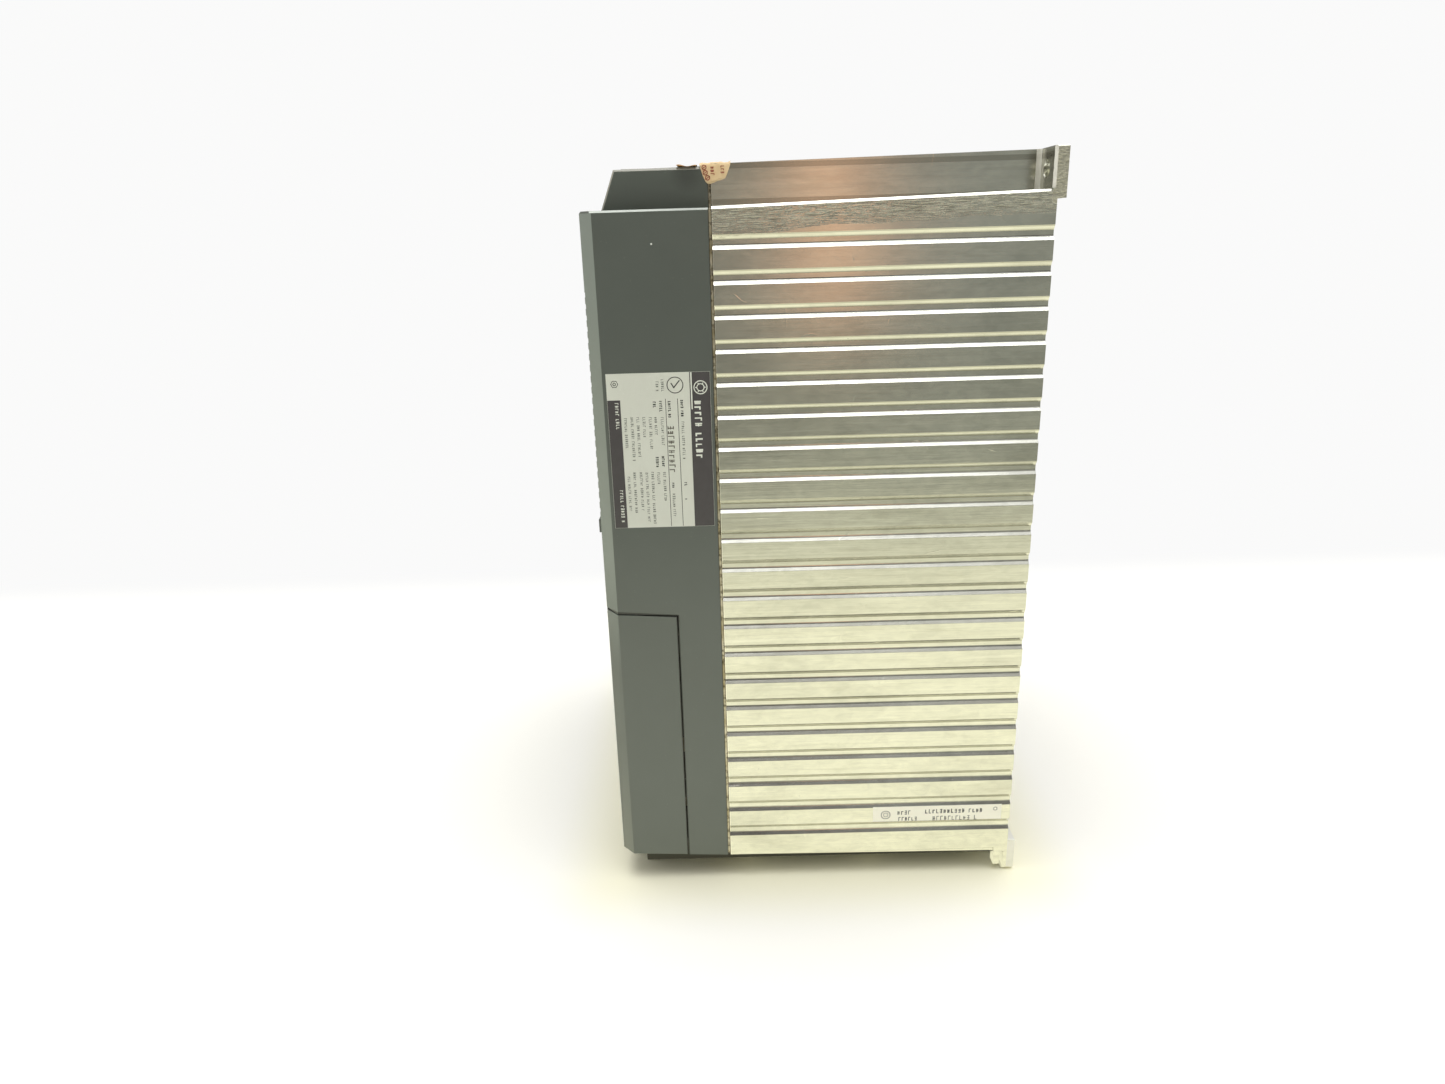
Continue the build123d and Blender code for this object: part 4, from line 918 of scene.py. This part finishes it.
def populate(tag, board, face_y, side, avoid, body, seed, count, margin=0.004):
    """Chip resistors, small chips, cans and solder joints on one face of a board that lies in XZ. side -1 faces -Y."""
    rnd = random.Random(seed)
    lo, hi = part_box(board)
    taken = [(b[0][0] - 0.0012, b[1][0] + 0.0012, b[0][2] - 0.0012, b[1][2] + 0.0012) for n_ in avoid for b in islands(n_)]
    sets = {"chips": bmesh.new(), "resistors": bmesh.new(), "cans": bmesh.new(), "leads": bmesh.new()}

    def free(x0, x1, z0, z1):
        return all(x1 < t[0] or x0 > t[1] or z1 < t[2] or z0 > t[3] for t in taken)

    made = 0
    for _ in range(count * 8):
        if made >= count:
            break
        kind = rnd.choices(("chips", "resistors", "cans"), (2, 8, 1))[0]
        w, h, t = {"chips": (rnd.choice((0.0052, 0.0078, 0.0102)), 0.0044, 0.0016), "resistors": (0.0020, 0.0012, 0.0006),
                   "cans": (0.0050, 0.0050, 0.0056)}[kind]
        if rnd.random() < 0.5:
            w, h = h, w
        x = round(rnd.uniform(lo[0] + margin + w, hi[0] - margin - w) / 0.00127) * 0.00127
        z = round(rnd.uniform(lo[2] + margin + h, hi[2] - margin - h) / 0.00127) * 0.00127
        x0, x1, z0, z1 = x - w / 2, x + w / 2, z - h / 2, z + h / 2
        pad = 0.0011 if kind == "chips" else 0.0006
        if not free(x0 - pad, x1 + pad, z0 - pad, z1 + pad):
            continue
        taken.append((x0 - pad, x1 + pad, z0 - pad, z1 + pad))
        y0, y1 = face_y, face_y + side * t
        if kind == "cans":
            tube(sets["cans"], x, y0, y1, z, w / 2)
        else:
            block(sets[kind], x0, x1, min(y0, y1), max(y0, y1), z0, z1)
            lead_t = 0.00025 if kind == "chips" else 0.00062
            ya, yb = face_y, face_y + side * (lead_t if kind == "resistors" else 0.0007)
            if kind == "resistors":
                e = 0.00042
                if w > h:
                    for xa in (x0 - 0.00005, x1 - e + 0.00005):
                        block(sets["leads"], xa, xa + e, min(ya, yb), max(ya, yb), z0 - 0.00004, z1 + 0.00004, 0.00006)
                else:
                    for za in (z0 - 0.00005, z1 - e + 0.00005):
                        block(sets["leads"], x0 - 0.00004, x1 + 0.00004, min(ya, yb), max(ya, yb), za, za + e, 0.00006)
            else:
                n_leads = int(max(w, h) / 0.00127) - 1
                for i in range(n_leads):
                    q = -max(w, h) / 2 + 0.0013 + i * 0.00127
                    if w > h:
                        for za in (z0 - 0.0009, z1):
                            block(sets["leads"], x + q - 0.0002, x + q + 0.0002, min(ya, yb), max(ya, yb), za, za + 0.0009, 0.00005)
                    else:
                        for xa in (x0 - 0.0009, x1):
                            block(sets["leads"], xa, xa + 0.0009, min(ya, yb), max(ya, yb), z + q - 0.0002, z + q + 0.0002, 0.00005)
        made += 1
    mats = {"chips": MAT["chip_plastic"], "resistors": MAT["smd_black"], "cans": MAT["can_metal"], "leads": MAT["solder"]}
    for k, bm in sets.items():
        bmesh.ops.recalc_face_normals(bm, faces=bm.faces)
        piece(tag + "_" + k, bm, mats[k], body)


MAT["smd_black"] = plastic("smd_black", lin(44, 40, 40), 0.35, 2500.0, 0.05)
MAT["can_metal"] = metal("can_metal", (0.72, 0.73, 0.75), 0.22, None, 0.05)
MAT["solder"] = metal("solder", (0.74, 0.74, 0.72), 0.24, None, 0.06)
blo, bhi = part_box("control_board")
populate("control_board_small", "control_board", blo[1], -1, ("control_board_chips", "riser_connector", "ribbon_cable", "board_standoffs",
         "keypad_socket", "keypad_back", "control_terminal_block"), CHASSIS, 7, 150)
plo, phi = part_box("power_board")
populate("power_board_small", "power_board", plo[1], -1, ("gate_driver_chips", "riser_connector", "ribbon_cable", "board_standoffs",
         "charge_relay", "charge_resistor", "current_sensors", "snubber_capacitors", "supply_transformer", "filter_capacitors",
         "frame_plate_pillars", "power_terminal_block"), CHASSIS, 9, 120)


# ------------------------------------------------------------------ stage, camera, light
def make_stage():
    me = bpy.data.meshes.new("floor")
    me.from_pydata([(-7, -7, 0), (7, -7, 0), (7, 7, 0), (-7, 7, 0)], [], [(0, 1, 2, 3)])
    floor = bpy.data.objects.new("floor", me)
    scene.collection.objects.link(floor)
    m, n, b = material("floor_paper")
    x, y, z = n.xyz()
    v = n.noise(n.coords(), 6.0, 3.0)
    # painted shade: the paper turns warm yellow within 5 cm of the drive's footprint, standing in for the warm shadow
    # around its base
    dx = n.math("MAXIMUM", n.math("SUBTRACT", n.math("ABSOLUTE", x), 0.125), 0.0)
    dy = n.math("MAXIMUM", n.math("SUBTRACT", n.math("ABSOLUTE", y), 0.109), 0.0)
    shadow_tint_zone = n.ramp(n.math("SQRT", n.math("ADD", n.math("MULTIPLY", dx, dx), n.math("MULTIPLY", dy, dy))), [(0.0, 1.0), (0.05, 0.0)], "EASE")
    warm = n.mix(shadow_tint_zone, n.mix(v, (0.955, 0.945, 0.905), (0.965, 0.955, 0.92)), (0.935, 0.91, 0.73))
    put(n, b, Base_Color=warm, Roughness=0.8)
    b.inputs["Specular IOR Level"].default_value = 0.1
    # the paper ends half a metre out on both sides: polished metal mirrors the darker room beyond it
    far = n.ramp(n.math("ABSOLUTE", x), [(0.50, 0.0), (0.76, 0.7), (1.0, 1.0)], "EASE")
    lp = m.node_tree.nodes.new("ShaderNodeLightPath")
    fac = n.math("MULTIPLY", far, lp.outputs["Is Glossy Ray"])
    em = m.node_tree.nodes.new("ShaderNodeEmission")
    em.inputs["Color"].default_value = (*lin(188, 189, 170), 1)
    mx = m.node_tree.nodes.new("ShaderNodeMixShader")
    n.link(fac, mx.inputs[0])
    n.link(b.outputs[0], mx.inputs[1])
    n.link(em.outputs[0], mx.inputs[2])
    # close to the drive the lit paper shows bright in the metal
    lift = m.node_tree.nodes.new("ShaderNodeEmission")
    lift.inputs["Color"].default_value = (*lin(284, 281, 244), 1)
    mx0 = m.node_tree.nodes.new("ShaderNodeMixShader")
    n.link(n.math("MULTIPLY", lp.outputs["Is Glossy Ray"], 0.85), mx0.inputs[0])
    n.link(b.outputs[0], mx0.inputs[1])
    n.link(lift.outputs[0], mx0.inputs[2])
    n.link(mx0.outputs[0], mx.inputs[1])
    r = n.math("SQRT", n.math("ADD", n.math("MULTIPLY", x, x), n.math("MULTIPLY", y, y)))
    sweep = n.ramp(n.math("MULTIPLY", x, -1.0), [(0.24, 0.0), (0.40, 1.0)], "EASE")
    fade = n.math("MAXIMUM", n.ramp(n.math("MULTIPLY", r, 0.2), [(0.10, 0.0), (0.3, 1.0)], "EASE"), sweep)
    fade = n.math("MULTIPLY", fade, lp.outputs["Is Camera Ray"])
    bg = m.node_tree.nodes.new("ShaderNodeEmission")
    bg.inputs["Color"].default_value = (0.957, 0.957, 0.955, 1)
    mx2 = m.node_tree.nodes.new("ShaderNodeMixShader")
    n.link(fade, mx2.inputs[0])
    n.link(mx.outputs[0], mx2.inputs[1])
    n.link(bg.outputs[0], mx2.inputs[2])
    n.link(mx2.outputs[0], m.node_tree.nodes["Material Output"].inputs["Surface"])
    me.materials.append(m)
    floor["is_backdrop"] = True
    # what the polished sides mirror: a dim room with a warm shape in it, seen by reflections only
    for s in (1, -1):
        c = bpy.data.meshes.new("room_card")
        xx = 1.0 * s
        c.from_pydata([(xx, -2.2, 0.0), (xx, 2.2, 0.0), (xx, 2.2, 1.15), (xx, -2.2, 1.15)], [], [(0, 1, 2, 3)])
        card = bpy.data.objects.new("room_card_right" if s > 0 else "room_card_left", c)
        scene.collection.objects.link(card)
        m, n, b = material("room_card")
        x, y, z = n.xyz()
        yw = n.math("ADD", y, n.math("MULTIPLY", n.math("SUBTRACT", n.noise(n.coords((1, 1, 3)), 6.0, 2.0), 0.5), 0.05))
        blob = n.ramp(n.math("ADD", yw, 0.5), [(0.545, 0.0), (0.582, 1.0), (0.628, 1.0), (0.66, 0.0)])
        zf = n.ramp(z, [(0.16, 0.0), (0.20, 0.15), (0.28, 1.0), (0.48, 1.0), (0.62, 0.0)])
        slate = n.ramp(n.math("ADD", yw, 0.5), [(0.66, 0.0), (0.68, 1.0), (0.86, 0.8), (0.93, 0.0)])
        slate = n.math("MULTIPLY", slate, n.ramp(z, [(0.22, 0.35), (0.34, 1.0)]))
        left = n.ramp(n.math("ADD", yw, 0.5), [(0.40, 1.0), (0.55, 0.0)])
        base = n.mix(n.ramp(z, [(0.0, 0.0), (0.3, 1.0)]), lin(146, 148, 134), lin(160, 161, 150))
        base = n.mix(n.math("MULTIPLY", left, 0.8), base, lin(128, 128, 120))
        base = n.mix(n.ramp(z, [(0.50, 0.0), (0.72, 1.0)]), base, lin(96, 92, 90))
        base = n.mix(n.math("MULTIPLY", slate, 0.75), base, lin(150, 156, 152))
        base = n.mix(n.math("MULTIPLY", blob, zf), base, lin(312, 246, 200))
        em = m.node_tree.nodes.new("ShaderNodeEmission")
        n.link(base, em.inputs["Color"])
        n.link(em.outputs[0], m.node_tree.nodes["Material Output"].inputs["Surface"])
        c.materials.append(m)
        card.visible_camera = False
        card.visible_diffuse = False
        card.visible_shadow = False
        card.visible_transmission = False
        card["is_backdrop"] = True


def make_camera():
    cam = bpy.data.objects.new("camera", bpy.data.cameras.new("camera"))
    scene.collection.objects.link(cam)
    cam.data.sensor_width = 36.0
    cam.data.lens = 935.0 / 1445.0 * 36.0
    cam.data.clip_start, cam.data.clip_end = 0.01, 50
    pitch, roll, yaw = (math.radians(a) for a in (-18.06, -1.71, 0.40))
    basis = Matrix(((0, 0, 1), (1, 0, 0), (0, 1, 0)))
    rot = basis @ Matrix.Rotation(yaw, 3, "Y") @ Matrix.Rotation(pitch, 3, "X") @ Matrix.Rotation(roll, 3, "Z")
    cam.matrix_world = Matrix.Translation((0.125 + 0.4421, -0.0448, 0.3423)) @ rot.to_4x4()
    scene.camera = cam


def make_world():
    w = bpy.data.worlds.new("studio")
    scene.world = w
    w.use_nodes = True
    t = w.node_tree
    n = Nodes(t)
    bg = t.nodes["Background"]
    tc = t.nodes.new("ShaderNodeTexCoord")
    sep = t.nodes.new("ShaderNodeSeparateXYZ")
    t.links.new(tc.outputs["Generated"], sep.inputs[0])
    x, y, z = sep.outputs
    side = n.ramp(n.math("ABSOLUTE", x), [(0.35, 0.0), (0.70, 1.0)])
    low = n.ramp(z, [(0.78, 1.0), (0.90, 0.0)])
    dark = n.math("MULTIPLY", side, low)
    col = n.mix(dark, (0.98, 0.98, 0.97), lin(158, 156, 144))
    top = n.ramp(z, [(0.885, 0.0), (0.935, 1.0)])
    col = n.mix(top, col, (4.2, 4.2, 4.15))
    lp = t.nodes.new("ShaderNodeLightPath")
    col = n.mix(lp.outputs["Is Camera Ray"], col, (0.957, 0.957, 0.955))
    n.link(col, bg.inputs["Color"])
    bg.inputs["Strength"].default_value = 1.0


make_stage()
make_camera()
make_world()
scene.view_settings.view_transform = "Standard"
scene.view_settings.look = "None"

lo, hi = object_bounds()
